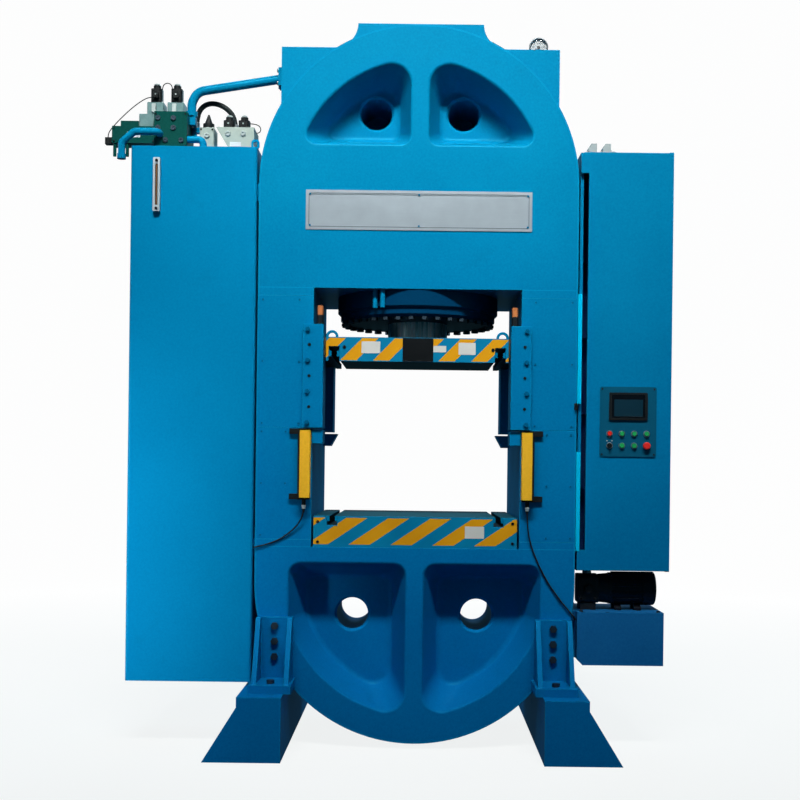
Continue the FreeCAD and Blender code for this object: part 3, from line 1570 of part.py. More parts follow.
def make_conduit(start_x):
    """A short conduit arch from a plug's side down into the cabinet's top."""
    z = cabinet_top + conduit_height
    end_x = start_x + conduit_reach
    arch = pipe([(start_x, connector_y, z), (end_x, connector_y, z), (end_x, connector_y, cabinet_top)],
                conduit_radius, conduit_radius * 3)
    half = conduit_box / 2
    entry = box(start_x - connector_rim, start_x - connector_rim + conduit_box_depth,
                connector_y - half, connector_y + half, z - half, z + half)
    return joined([arch, entry])


def make_connectors():
    """Two plugs on the cabinet's top; the right one has the conduit arch."""
    right_x = connector_x + connector_pitch
    right = joined([make_plug(right_x), make_conduit(right_x + connector_width / 2 + connector_rim)])
    return [make_plug(connector_x), right]


def make_base_block():
    """A welded box beside the lower beam, with a saddle that follows the guard sheet."""
    y0 = frame_front
    y1 = y0 + base_depth
    outline = [(base_left, base_bottom + base_chamfer), (base_left + base_chamfer, base_bottom),
               (base_right, base_bottom), (base_right, base_top), (base_left, base_top)]
    block = profile_xz(outline, y0, y1)
    saddle = box(saddle_inner, base_left, y0 + saddle_setback, y0 + saddle_setback + saddle_depth,
                 base_bottom + base_chamfer, base_top)
    beam = rod(frame_outer + fit, point(0, frame_front, lower_arc_z), along_y, frame_depth)
    saddle = saddle.cut(beam)
    return joined([block, saddle])


def motor_centre_z():
    return base_top + motor_height


def end_edges(shape, x):
    """Round edges of a bar's end face at x."""
    return [edge for edge in shape.Edges if abs(edge.BoundBox.XMin - x) < 0.1 and edge.BoundBox.XLength < 0.1]


def make_motor_ribs():
    """Cooling ribs round the motor's body."""
    z = motor_centre_z()
    half = motor_rib / 4
    ribs = []
    for index in range(motor_rib_count):
        rib = box(motor_left + motor_rib, motor_left + motor_length - motor_rib, motor_y - half,
                  motor_y + half, z + motor_radius - 2 * motor_rib, z + motor_radius)
        rib.rotate(point(motor_left, motor_y, z), along_x, 360 * (index + 0.5) / motor_rib_count)
        ribs.append(rib)
    return ribs


def make_fan_cover():
    """The cover over the fan: a cap with a barred round opening in its end."""
    z = motor_centre_z()
    x1 = motor_left + motor_length
    cover_x = x1 + fan_cover_length
    wall = fan_cover_wall
    cover = rod(motor_radius, point(x1, motor_y, z), along_x, fan_cover_length)
    cover = cover.makeFillet(fan_cover_round, end_edges(cover, cover_x))
    room = rod(motor_radius - wall, point(x1, motor_y, z), along_x, fan_cover_length - wall)
    room = room.makeFillet(fan_cover_round - wall, end_edges(room, cover_x - wall))
    eye = rod(fan_cover_eye, point(x1, motor_y, z), along_x, fan_cover_length)
    bars = []
    for index in range(grille_bars):
        bar = box(cover_x - wall, cover_x, motor_y - grille_reach, motor_y + grille_reach,
                  z - fan_blade / 2, z + fan_blade / 2)
        bar.rotate(point(x1, motor_y, z), along_x, 180 * index / grille_bars)
        bars.append(bar)
    return joined([cover.cut([room, eye])] + bars)


def make_motor_feet():
    """Four sloping feet between the motor's body and the base."""
    inner = motor_centre_z() - motor_radius + 3 * motor_rib
    right_x = motor_left + motor_length - motor_foot_width * 1.5
    feet = []
    for x in (motor_left + motor_foot_width / 2, right_x):
        for side in (-1, 1):
            y_out = motor_y + side * motor_foot_spread / 2
            y_in = motor_y + side * motor_foot_spread / 6
            y_heel = y_in + side * motor_foot
            outline = [(y_out, base_top), (y_out, base_top + motor_foot), (y_in, inner),
                       (y_heel, base_top + motor_foot), (y_heel, base_top)]
            feet.append(profile_yz(outline, x, x + motor_foot_width))
    return feet


def make_motor():
    """A ribbed motor body on feet, with its end shield and fan cover."""
    z = motor_centre_z()
    x0 = motor_left
    x1 = x0 + motor_length
    body = rod(motor_radius - motor_rib, point(x0, motor_y, z), along_x, motor_length)
    shield = rod(motor_radius, point(x1 - motor_rib, motor_y, z), along_x, motor_rib)
    whole = joined([body, shield, make_fan_cover()] + make_motor_ribs() + make_motor_feet())
    bore = rod(shaft_radius + fit, point(x0 + motor_length / 2, motor_y, z), along_x, motor_length)
    return whole.cut(bore)


def make_motor_fan():
    """The motor's rotor end: a shaft stub and its bladed fan under the cover."""
    z = motor_centre_z()
    x1 = motor_left + motor_length
    fan_x = x1 + (fan_cover_length - fan_width) / 2
    shaft = rod(shaft_radius, point(x1 - motor_length / 2 + 2 * fit, motor_y, z), along_x,
                motor_length / 2 + fan_cover_length / 2)
    disc = rod(fan_radius * 0.5, point(fan_x, motor_y, z), along_x, fan_width)
    parts = [shaft, disc]
    for index in range(fan_blades):
        blade = box(fan_x, fan_x + fan_width, motor_y - fan_blade / 2, motor_y + fan_blade / 2, z,
                    z + fan_radius)
        blade.rotate(point(fan_x, motor_y, z), along_x, 360 * index / fan_blades)
        parts.append(blade)
    return joined(parts)


def make_pump():
    """Bell housing on the motor's face, gear pump body and its two ports."""
    z = motor_centre_z()
    x1 = motor_left
    x0 = x1 - bell_length
    bell = Part.makeCone(pump_width / 2, bell_radius, bell_length, point(x0, motor_y, z), along_x)
    rim = rod(motor_radius - motor_rib, point(x1 - bell_rim, motor_y, z), along_x, bell_rim)
    half = pump_width / 2
    body = box(x0 - pump_length, x0, motor_y - half, motor_y + half, z - half, z + half)
    body = body.makeFillet(half / 3, edges_along(body, along_x))
    port_x = x0 - pump_length / 2
    outlet = rod(pump_port_radius, point(port_x, motor_y, z + half), up, pump_port_height)
    inlet = rod(pump_port_radius, point(port_x, motor_y - half, z), point(0, -1, 0), pump_port_height)
    foot = box(x0 - pump_length + pump_foot_margin, x0 - pump_foot_margin,
               motor_y - half + pump_foot_margin, motor_y + half - pump_foot_margin, base_top, z - half)
    return joined([bell, rim, body, outlet, inlet, foot])


def make_main_parts():
    """Every node's name and shape."""
    column = make_column()
    foot = make_foot()
    curtain = make_light_curtain()
    lubricator = make_lubricator()
    front_guide = make_front_guide()
    nodes = {
        "lower_beam": make_lower_beam(),
        "upper_beam": make_upper_beam(),
        "right_column": column,
        "left_column": mirrored(column),
        "frame_winding": make_winding(),
        "frame_covers": make_frame_covers(),
        "cover_screws": make_cover_screws(),
        "nameplate": make_nameplate(),
        "crown_housing": make_crown_housing(),
        "pressure_gauge": make_pressure_gauge(),
        "gauge_needle": make_gauge_needle(),
        "right_foot": foot,
        "left_foot": mirrored(foot),
        "foot_brackets": all_corners(make_foot_bracket()),
        "foot_bolts": make_foot_bolts(),
        "bolster": make_bolster(),
        "bolster_apron": make_bolster_apron(),
        "slide": make_slide(),
        "slide_apron": make_slide_apron(),
        "slide_wear_plates": make_wear_plates(),
        "front_guides": both_sides(front_guide),
        "rear_guides": both_sides(front_to_back(front_guide)),
        "guide_bolts": make_guide_bolts(),
        "guide_stops": both_sides(make_front_stop()) + both_sides(make_rear_stop()),
        "lubricators": both_sides(lubricator),
        "main_cylinder": make_main_cylinder(),
        "gland_ring": make_gland_ring(),
        "gland_bolts": make_gland_bolts(),
        "main_ram": make_main_ram(),
        "piston_rings": make_ram_seals(),
        "light_curtains": both_sides(curtain),
        "curtain_clamps": make_curtain_clamps(),
        "left_curtain_lead": make_left_lead(),
        "right_curtain_lead": make_right_lead(),
        "oil_tank": make_oil_tank(),
        "level_gauge": make_level_gauge(),
        "valve_manifold": make_manifold(),
        "valve_blocks": make_valve_blocks(),
        "valve_solenoids": make_valve_solenoids(),
        "oil_pipes": make_oil_pipes(),
        "pressure_hose": make_pressure_hose(),
        "solenoid_leads": make_solenoid_leads(),
        "cabinet_shell": make_cabinet_shell(),
        "cabinet_door": make_cabinet_door(),
        "switchgear": make_switchgear(),
        "control_panel": make_control_panel(),
        "touch_screen": make_touch_screen(),
        "cabinet_connectors": make_connectors(),
        "pump_base": make_base_block(),
        "motor": make_motor(),
        "motor_fan": make_motor_fan(),
        "pump": make_pump(),
    }
    names = ["stop_button", "start_button", "up_button", "down_button",
             "mode_selector", "pump_on_button", "pump_off_button", "emergency_stop"]
    for name, place in zip(names, button_places()):
        nodes[name] = make_button(*place)
    return nodes


os.makedirs("parts", exist_ok=True)
for node_name, node_shape in make_main_parts().items():
    save(node_name, node_shape)
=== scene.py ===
# %% [markdown]
# # Dressing a hydraulic press
# The press arrives as a fixed frame of solids: a round-ended steel frame, its slide and table,
# an oil tank with valves on the left and a control cabinet on the right.  This lesson gives
# every surface its finish and adds what the solids leave out: screws, bare label plates,
# gauge faces, glass, fittings and leads.  All lengths are in metres, and -Y faces the operator.

# %% Load the frame
import math

import bpy
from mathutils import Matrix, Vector


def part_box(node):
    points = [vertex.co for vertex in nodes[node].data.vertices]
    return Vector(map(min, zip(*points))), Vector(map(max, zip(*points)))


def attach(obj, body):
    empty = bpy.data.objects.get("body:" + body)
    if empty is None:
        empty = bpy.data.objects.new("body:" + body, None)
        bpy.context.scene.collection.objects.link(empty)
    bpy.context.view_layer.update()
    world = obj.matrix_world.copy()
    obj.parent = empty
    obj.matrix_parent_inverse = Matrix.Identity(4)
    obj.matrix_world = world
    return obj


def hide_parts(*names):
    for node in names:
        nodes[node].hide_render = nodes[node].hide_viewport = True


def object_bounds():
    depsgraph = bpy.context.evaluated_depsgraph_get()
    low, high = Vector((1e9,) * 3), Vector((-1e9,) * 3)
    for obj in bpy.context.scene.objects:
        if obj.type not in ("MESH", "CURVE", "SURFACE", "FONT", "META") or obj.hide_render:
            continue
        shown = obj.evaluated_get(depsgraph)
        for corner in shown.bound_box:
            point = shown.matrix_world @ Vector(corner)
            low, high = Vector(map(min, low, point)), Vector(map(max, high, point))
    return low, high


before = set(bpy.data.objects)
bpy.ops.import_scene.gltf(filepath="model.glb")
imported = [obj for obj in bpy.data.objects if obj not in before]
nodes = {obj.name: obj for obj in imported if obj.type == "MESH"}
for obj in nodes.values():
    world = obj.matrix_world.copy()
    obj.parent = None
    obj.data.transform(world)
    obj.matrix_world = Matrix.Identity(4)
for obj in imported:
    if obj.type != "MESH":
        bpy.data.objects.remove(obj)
solids_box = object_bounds()
print("frame box", solids_box)


# %% [markdown]
# ## The stage
# A machine of this size is photographed from far back with a long lens, so its upright edges
# stay upright.  The camera looks straight along +Y at chest height, and a small shift of the
# lens moves the picture up instead of tilting the camera.  The picture leans by less than a
# degree, like one from a tripod that isn't quite level.

# %% Camera
eye_height = 0.273
eye_distance = 6.85
picture_lean = -0.7

lens = bpy.data.cameras.new("camera")
lens.lens = 54.9
lens.sensor_width = 36.0
lens.shift_x = -0.02105
lens.shift_y = 0.0812
lens.clip_end = 200.0
camera = bpy.data.objects.new("camera", lens)
camera.location = (0.005, -eye_distance, eye_height)
camera.rotation_euler = (math.radians(90), math.radians(picture_lean), 0)
bpy.context.scene.collection.objects.link(camera)
bpy.context.scene.camera = camera
bpy.context.scene.view_settings.view_transform = "Standard"


# %% [markdown]
# ## Leads and hose
# Each light curtain has a thin black lead that leaves its lower end, hangs in a loose curve
# across the column and goes into the tank or the pump's base.  A thick hose arches between
# two valve blocks, and three thin leads join the solenoid coils.  A flexible cord has no
# straight runs, so each is one smooth spline that its listed points pull towards them, with a
# round section.

# %% Cord routes
lead_diameter = 0.008
hose_diameter = 0.028
thin_diameter = 0.0052
hose_y = -0.24
coil_y = -0.3

left_lead_route = [
    (-0.583, -0.487, 0.056), (-0.583, -0.487, 0.020), (-0.600, -0.476, -0.026),
    (-0.640, -0.463, -0.076), (-0.700, -0.458, -0.121), (-0.768, -0.458, -0.150),
    (-0.828, -0.460, -0.165), (-0.846, -0.458, -0.169), (-0.846, -0.438, -0.170),
    (-0.846, -0.420, -0.170),
]
right_lead_route = [
    (0.583, -0.487, 0.056), (0.583, -0.487, 0.008), (0.590, -0.470, -0.066),
    (0.604, -0.460, -0.130), (0.634, -0.458, -0.212), (0.687, -0.458, -0.320),
    (0.760, -0.459, -0.424), (0.822, -0.461, -0.496), (0.846, -0.452, -0.524),
    (0.846, -0.424, -0.534), (0.846, -0.380, -0.534),
]
hose_route = [
    (-1.2100, hose_y, 2.081), (-1.2100, hose_y, 2.126), (-1.1932, hose_y, 2.187),
    (-1.1470, hose_y, 2.219), (-1.0840, hose_y, 2.213), (-1.0252, hose_y, 2.173),
    (-1.0000, hose_y, 2.117), (-1.0000, hose_y, 2.070),
]
long_lead_route = [
    (-1.442, coil_y, 2.229), (-1.456, coil_y, 2.229), (-1.492, coil_y, 2.213),
    (-1.552, coil_y, 2.167), (-1.613, coil_y, 2.108), (-1.662, coil_y, 2.053),
    (-1.674, coil_y, 2.026), (-1.674, coil_y, 2.008),
]
coil_arch_route = [
    (-1.3846, coil_y, 2.2690), (-1.3846, coil_y, 2.2810), (-1.3768, coil_y, 2.2998),
    (-1.3580, coil_y, 2.3076), (-1.3392, coil_y, 2.2998), (-1.3314, coil_y, 2.2810),
    (-1.3314, coil_y, 2.2690),
]
coil_loop_route = [
    (-0.912, coil_y, 2.0932), (-0.898, coil_y, 2.0932), (-0.866, coil_y, 2.0862),
    (-0.852, coil_y, 2.0652), (-0.862, coil_y, 2.0432), (-0.878, coil_y, 2.0432),
]
print("routes", len(left_lead_route), len(right_lead_route), len(hose_route))

# %% Cord pieces
def cord(name, route, diameter, replaced, length, stiffness):
    """A round cord along one smooth spline, from the first point of its route to the last.

    Each knot holds the cord's own radius, because a curve's box is widened by its knots' radii.
    """
    line = bpy.data.curves.new(name, "CURVE")
    line.dimensions = "3D"
    spline = line.splines.new("NURBS")
    spline.points.add(len(route) - 1)
    for knot, place in zip(spline.points, route):
        knot.co = (*place, 1.0)
        knot.radius = diameter / 2
    spline.order_u = 3
    spline.use_endpoint_u = True
    line.resolution_u = 12
    line.bevel_depth = 1.0
    line.bevel_resolution = 4
    line.use_fill_caps = True
    piece = bpy.data.objects.new(name, line)
    bpy.context.scene.collection.objects.link(piece)
    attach(piece, "press_frame")
    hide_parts(replaced)
    return piece


cord_rows = (
    ("left_lead", left_lead_route, lead_diameter, "left_curtain_lead", 0.414, "medium"),
    ("right_lead", right_lead_route, lead_diameter, "right_curtain_lead", 0.728, "medium"),
    ("valve_hose", hose_route, hose_diameter, "pressure_hose", 0.400, "stiff"),
    ("coil_arch", coil_arch_route, thin_diameter, "solenoid_leads", 0.102, "medium"),
    ("coil_long_lead", long_lead_route, thin_diameter, "solenoid_leads", 0.334, "medium"),
    ("coil_loop", coil_loop_route, thin_diameter, "solenoid_leads", 0.107, "medium"),
)
cords = {row[0]: cord(*row) for row in cord_rows}
print("cords", list(cords))


# %% [markdown]
# The floor is a pale sheet that curls up far behind the press, like a roll of studio paper.
# It starts as a plane whose far edge is extruded upwards, and a bevel rounds the fold, so no
# horizon line shows.

# %% Floor
floor_z = solids_box[0][2]
sheet_half = 14.0
wall_height = 12.0
fold_reach = 6.0


def start_edit():
    """Go to edit mode on the active object with nothing selected."""
    bpy.ops.object.mode_set(mode="EDIT")
    bpy.ops.mesh.select_all(action="DESELECT")


def end_edit():
    """Go back to object mode."""
    bpy.ops.object.mode_set(mode="OBJECT")


def select_where(piece, kind, test):
    """Select the faces or edges that pass the test; piece is in edit mode.

    A face is tested by its middle and normal, an edge by its two ends.
    """
    end_edit()
    mesh = piece.data
    for part in (*mesh.vertices, *mesh.edges, *mesh.polygons):
        part.select = False
    if kind == "FACE":
        for face in mesh.polygons:
            face.select = test(face.center, face.normal)
    else:
        for edge in mesh.edges:
            edge.select = test(*(mesh.vertices[index].co for index in edge.vertices))
    bpy.context.tool_settings.mesh_select_mode = (False, kind == "EDGE", kind == "FACE")
    bpy.ops.object.mode_set(mode="EDIT")


bpy.ops.object.select_all(action="DESELECT")
bpy.ops.mesh.primitive_plane_add(size=2 * sheet_half, location=(0, 0, floor_z))
floor = bpy.context.object
floor.name = "studio_floor"
start_edit()
select_where(floor, "EDGE", lambda a, b: a.y > 0 and b.y > 0)
bpy.ops.mesh.extrude_edges_move(TRANSFORM_OT_translate={"value": (0, 0, wall_height)})
select_where(floor, "EDGE", lambda a, b: a.y > 0 and b.y > 0 and a.z < 1 and b.z < 1)
bpy.ops.mesh.bevel(offset=fold_reach, segments=16)
end_edit()
bpy.ops.object.shade_smooth()


# %% [markdown]
# The hall light comes from a long lamp high in front of the press.  It aims at the upper beam, so
# the brightness falls off towards the feet, and the flange under the beam gets a crisp shadow.
# A narrow lamp brightens the tank's lower half.  Two weak fills and a dim bluish world lift the
# sides, and three lamps behind light the rear.
# The camera itself sees a white world past the edges of the floor.  The floor gives no light
# back, because its glare would wash out the deep paint.

# %% Lights
def light_panel(name, place, target, size, power, spread, tint=(1.0, 1.0, 1.0)):
    """A rectangular light that faces a target; spread is the width of its beam in degrees."""
    lamp = bpy.data.lights.new(name, "AREA")
    lamp.shape = "RECTANGLE"
    lamp.size, lamp.size_y = size
    lamp.energy = power
    lamp.spread = math.radians(spread)
    lamp.color = tint
    holder = bpy.data.objects.new(name, lamp)
    holder.location = place
    holder.rotation_euler = (Vector(target) - Vector(place)).to_track_quat("-Z", "Y").to_euler()
    holder.visible_camera = False
    bpy.context.scene.collection.objects.link(holder)


light_panel("key_panel", (0.0, -4.1, 5.7), (0, -0.45, 1.75), (4.4, 0.6), 86, 56, (1.0, 1.0, 0.97))
light_panel("tank_panel", (-4.6, -4.2, -0.2), (-1.7, -0.45, -0.3), (0.4, 2.0), 8, 22, (0.95, 1.0, 1.0))
light_panel("left_fill", (-7.0, -4.5, 2.6), (0, 0, 1.0), (3.0, 4.0), 14, 160, (0.85, 0.95, 1.0))
light_panel("right_fill", (7.0, -4.5, 2.6), (0, 0, 1.0), (3.0, 4.0), 14, 160, (0.85, 0.95, 1.0))
light_panel("back_panel", (0.0, 6.0, 5.5), (0, 0, 1.0), (6.0, 3.0), 170, 160, (0.55, 0.85, 1.0))
light_panel("left_rear_fill", (-7.0, 2.6, 2.2), (-1.2, 0.3, 0.6), (2.0, 3.0), 16, 70, (0.85, 0.95, 1.0))
light_panel("right_rear_fill", (7.0, 2.6, 2.2), (1.2, 0.3, 0.6), (2.0, 3.0), 16, 70, (0.85, 0.95, 1.0))
world = bpy.data.worlds.new("studio")
world.use_nodes = True
world_nodes = world.node_tree.nodes
world_links = world.node_tree.links
sky = world_nodes["Background"]
sky.inputs["Color"].default_value = (0.24, 0.70, 0.96, 1.0)
sky.inputs["Strength"].default_value = 0.09
backdrop = world_nodes.new("ShaderNodeBackground")
backdrop.inputs["Color"].default_value = (0.98, 0.978, 0.976, 1.0)
seen = world_nodes.new("ShaderNodeLightPath")
choice = world_nodes.new("ShaderNodeMixShader")
world_links.new(seen.outputs["Is Camera Ray"], choice.inputs[0])
world_links.new(sky.outputs[0], choice.inputs[1])
world_links.new(backdrop.outputs[0], choice.inputs[2])
world_links.new(choice.outputs[0], world_nodes["World Output"].inputs["Surface"])
bpy.context.scene.world = world
floor.visible_diffuse = False
floor.visible_glossy = False


# %% [markdown]
# ## A small language for finishes
# A finish is a network of shader nodes.  Writing each node by hand hides the idea, so two small
# classes carry the work.  `Signal` wraps one output of a node and turns `+`, `-`, `*` and `/`
# into Math nodes.  `Finish` owns one material, and its `node` method makes any other node.

# %% Signal and Finish
class Signal:
    """One output of a shader node, usable in sums and products."""

    def __init__(self, finish, socket):
        self.finish = finish
        self.socket = socket

    def math(self, operation, first, second=0.0, clamp=False):
        settings = {"operation": operation, "use_clamp": clamp}
        return self.finish.node("ShaderNodeMath", settings, {0: first, 1: second})

    def __add__(self, other):
        return self.math("ADD", self, other)

    def __radd__(self, other):
        return self.math("ADD", other, self)

    def __sub__(self, other):
        return self.math("SUBTRACT", self, other)

    def __rsub__(self, other):
        return self.math("SUBTRACT", other, self)

    def __mul__(self, other):
        return self.math("MULTIPLY", self, other)

    def __truediv__(self, other):
        return self.math("DIVIDE", self, other)

    def above(self, edge, softness):
        """0 under the edge, 1 over it, with a soft step."""
        return self.math("MULTIPLY", self - (edge - softness / 2), 1 / softness, clamp=True)

    def size(self):
        return self.math("ABSOLUTE", self)

    def clamped(self):
        return self.math("ADD", self, 0.0, clamp=True)


class Finish:
    """One material: its node tree, its main shader and the place on the piece."""

    def __init__(self, name):
        self.material = bpy.data.materials.new(name)
        self.material.use_nodes = True
        self.tree = self.material.node_tree
        self.shader = self.tree.nodes["Principled BSDF"]
        self.place = self.node("ShaderNodeTexCoord", output="Object")

    def connect(self, socket, value):
        """Link a signal to a socket, or set the socket's own value."""
        if isinstance(value, Signal):
            self.tree.links.new(value.socket, socket)
        elif isinstance(value, tuple) and len(value) == 3 and socket.type == "RGBA":
            socket.default_value = (*value, 1.0)
        else:
            socket.default_value = value

    def node(self, kind, settings=None, inputs=None, output=0):
        """Make a node: settings first, then inputs; returns one of its outputs."""
        made = self.tree.nodes.new(kind)
        for key, value in (settings or {}).items():
            setattr(made, key, value)
        for key, value in (inputs or {}).items():
            self.connect(made.inputs[key], value)
        return Signal(self, made.outputs[output])

    def set(self, **values):
        """Set or link sockets of the main shader; underscores stand for spaces."""
        for key, value in values.items():
            self.connect(self.shader.inputs[key.replace("_", " ")], value)

    def noise(self, scale, detail=2.0, roughness=0.5, place=None):
        inputs = {"Vector": place or self.place, "Scale": scale, "Detail": detail, "Roughness": roughness}
        return self.node("ShaderNodeTexNoise", None, inputs)

    def axis(self, letter):
        return self.node("ShaderNodeSeparateXYZ", None, {0: self.place}, output=letter)

    def stretched(self, x, y, z):
        """The place on the piece, scaled along each axis, for brushed or drawn grain."""
        return self.node("ShaderNodeMapping", None, {"Vector": self.place, "Scale": (x, y, z)})

    def colour_mix(self, factor, first, second, blend="MIX"):
        settings = {"data_type": "RGBA", "blend_type": blend}
        return self.node("ShaderNodeMix", settings, {0: factor, 6: first, 7: second}, output=2)

    def edge_mask(self, reach):
        """0 on a flat face, 1 on a sharp edge: how far a rounded normal leans from the true one."""
        rounded = self.node("ShaderNodeBevel", {"samples": 4}, {"Radius": reach})
        straight = self.node("ShaderNodeNewGeometry", output="True Normal")
        dot = {"operation": "DOT_PRODUCT"}
        likeness = self.node("ShaderNodeVectorMath", dot, {0: rounded, 1: straight}, "Value")
        return ((1.0 - likeness) * 7.0).clamped()

    def bump(self, height, strength, distance, soft_edge=0.0):
        """A bump from a height; soft_edge also rounds sharp edges by that radius."""
        inputs = {"Height": height, "Strength": strength, "Distance": distance}
        if soft_edge:
            inputs["Normal"] = self.node("ShaderNodeBevel", {"samples": 4}, {"Radius": soft_edge})
        self.set(Normal=self.node("ShaderNodeBump", None, inputs))


# %% [markdown]
# The paper is the first finish.  It glows by itself, so it stays white however little light
# reaches it, and near the press it is painted greyer than far from it, as a painted shadow of
# the press.

# %% Floor finish
paper = Finish("studio_paper")
flat = paper.node("ShaderNodeCombineXYZ", None, {0: paper.axis("X"), 1: paper.axis("Y")})
reach = paper.node("ShaderNodeVectorMath", {"operation": "LENGTH"}, {0: flat}, "Value")
# Painted shadow: far_off is 0 near the press, where the paper is greyer.
far_off = reach.above(5.0, 6.0)
paper.set(Base_Color=(0.10, 0.10, 0.10), Roughness=1.0, Specular_IOR_Level=0.0)
paper.set(Emission_Color=paper.colour_mix(far_off, (0.86, 0.88, 0.88), (1.0, 0.998, 0.996)))
paper.set(Emission_Strength=0.98)
floor.data.materials.append(paper.material)


def dress(finishes):
    """Give each material to the CAD nodes that are named with it."""
    for material, names in finishes.items():
        for name in names:
            for slot in nodes[name].material_slots:
                slot.material = material


# %% [markdown]
# ## Enamel
# Press makers brush or spray a thick gloss enamel over cast and welded steel.  It shows slow
# patches of tone where the coats differ, a fine speckle, an orange-peel ripple that breaks the
# reflections, and a slightly rounded edge with a painted highlight along it.  Towards the floor
# it takes a painted shade: less green and a little bluer.  The two blues are the deep and the
# bright end of one paint.

# %% Enamel finishes
def enamel(name, deep, bright, gloss=0.30, peel=0.10, edge=0.0025, low_shade_green=1.0):
    """Gloss paint between two tones, with a painted shade towards the floor, where low_shade_green sets how
    much green is kept, and a painted highlight along edges.
    """
    finish = Finish(name)
    patches = finish.noise(1.6, 3.0)
    speckle = finish.noise(85.0, 4.0, 0.65)
    tone = (patches.above(0.5, 0.55) * 0.55 + speckle.above(0.5, 0.35) * 0.45).clamped()
    grime = finish.noise(7.0, 5.0, 0.7).above(0.66, 0.16) * 0.16
    # Painted shade: towards the floor the paint is painted darker in green and a little bluer.
    low = 1.0 - finish.axis("Z").above(0.55, 2.3)
    low_shade = finish.colour_mix(low, finish.colour_mix(tone, deep, bright), (1.0, low_shade_green, 1.08), "MULTIPLY")
    dust_shade_and_highlight = finish.colour_mix(grime, low_shade, tuple(0.6 * part for part in deep))
    if edge:
        # Painted highlight: edges are painted brighter, as where they catch the light.
        edge_highlight = finish.edge_mask(3.0 * edge) * 0.55
        dust_shade_and_highlight = finish.colour_mix(edge_highlight, dust_shade_and_highlight, tuple(min(1.0, 1.45 * part) for part in bright))
    finish.set(Base_Color=dust_shade_and_highlight, Roughness=gloss + speckle * 0.10 + grime * 0.5)
    finish.set(Specular_IOR_Level=0.16, Specular_Tint=(0.05, 0.75, 1.0))
    finish.bump(finish.noise(260.0, 2.0) + patches * 3.0, peel, 0.0006, edge)
    return finish.material


frame_blue = enamel("frame_blue", (0.000, 0.150, 0.315), (0.001, 0.225, 0.420), low_shade_green=0.76)
tank_blue = enamel("tank_blue", (0.000, 0.160, 0.345), (0.001, 0.215, 0.430), 0.26)
cabinet_blue = enamel("cabinet_blue", (0.000, 0.140, 0.300), (0.001, 0.205, 0.395), 0.34, low_shade_green=0.88)
# The main cylinder and gland ring wear the frame's blue, painted near black as the shade under the upper
# beam.
cylinder_shaded_blue = enamel("cylinder_shaded_blue", (0.000, 0.026, 0.078), (0.001, 0.042, 0.108), 0.36)
# The guide bolts and cover screws wear the frame's blue, painted darker as their shade.
bolt_shaded_blue = enamel("bolt_shaded_blue", (0.000, 0.080, 0.170), (0.001, 0.130, 0.250), 0.30, 0.08, 0.001, 0.8)
unit_blue = enamel("unit_blue", (0.004, 0.090, 0.260), (0.010, 0.140, 0.340), 0.38)
pipe_blue = enamel("pipe_blue", (0.000, 0.145, 0.320), (0.002, 0.240, 0.430), 0.22, 0.06, 0.0)

dress({
    frame_blue: ("lower_beam", "upper_beam", "right_column", "left_column", "frame_covers",
                 "crown_housing", "right_foot", "left_foot", "foot_brackets", "front_guides",
                 "rear_guides", "guide_stops"),
    cylinder_shaded_blue: ("main_cylinder", "gland_ring"),
    bolt_shaded_blue: ("guide_bolts", "cover_screws"),
    tank_blue: ("oil_tank",),
    cabinet_blue: ("cabinet_shell", "cabinet_door"),
    unit_blue: ("pump_base",),
    pipe_blue: ("oil_pipes",),
})


# %% [markdown]
# The table and the slide are painted too, but each has one machined face, where the tools
# are clamped, and T-slots.  The finish finds that face by its normal and gives it its own
# colour: a dark steel on the table, and on the slide's underside a near black that is painted
# shade.  It finds the slots by their height and by the flat cheeks inside them, and paints them
# near black as painted shade.

# %% Machined faces
def machined(name, faces_up, bare_and_shade, box, slot_reach=0.52):
    """Frame enamel with one machined side, facing up or down, in the colour bare_and_shade, and T-slot cheeks
    in painted shade.
    """
    finish = Finish(name)
    low, high = box[0][2], box[1][2]
    patches = finish.noise(1.6, 3.0)
    cuts = finish.noise(5.0, 3.0, 0.6, finish.stretched(1.0, 40.0, 1.0))
    normal = finish.node("ShaderNodeNewGeometry", output="Normal")
    upright = finish.node("ShaderNodeSeparateXYZ", None, {0: normal}, output="Z")
    forward = finish.node("ShaderNodeSeparateXYZ", None, {0: normal}, output="Y")
    side = (upright if faces_up else 0.0 - upright).above(0.8, 0.1)
    height = finish.axis("Z")
    inside = height.above(low + 0.003, 0.002) * (1.0 - height.above(high - 0.003, 0.002))
    between = 1.0 - finish.axis("X").size().above(slot_reach, 0.002)
    # Painted shade: the cheeks inside the T-slots are painted near black.
    slot_shade = inside * between * (1.0 - forward.size().above(0.5, 0.1))
    painted = finish.colour_mix(patches, (0.000, 0.120, 0.270), (0.001, 0.200, 0.380))
    covered = finish.colour_mix(side, painted, bare_and_shade)
    finish.set(Base_Color=finish.colour_mix(slot_shade, covered, (0.001, 0.006, 0.010)))
    finish.set(Roughness=0.40 + cuts * 0.12)
    finish.set(Specular_IOR_Level=0.06, Specular_Tint=(0.05, 0.75, 1.0))
    finish.bump(cuts * side + patches * 0.5, 0.12, 0.0004, 0.0015)
    return finish.material


dress({
    machined("bolster_steel", True, (0.000, 0.052, 0.080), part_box("bolster")): ("bolster",),
    # The slide's underside is near black: painted shade under the slide.
    machined("slide_steel", False, (0.001, 0.008, 0.010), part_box("slide")): ("slide",),
})


# %% [markdown]
# ## Hazard stripes
# The two aprons carry slanted bands of orange-yellow over the blue.  A band is a question about
# one number: how far a point lies from the middle line of its band.  That number comes from the
# place along X, moved sideways with height, folded into one period.

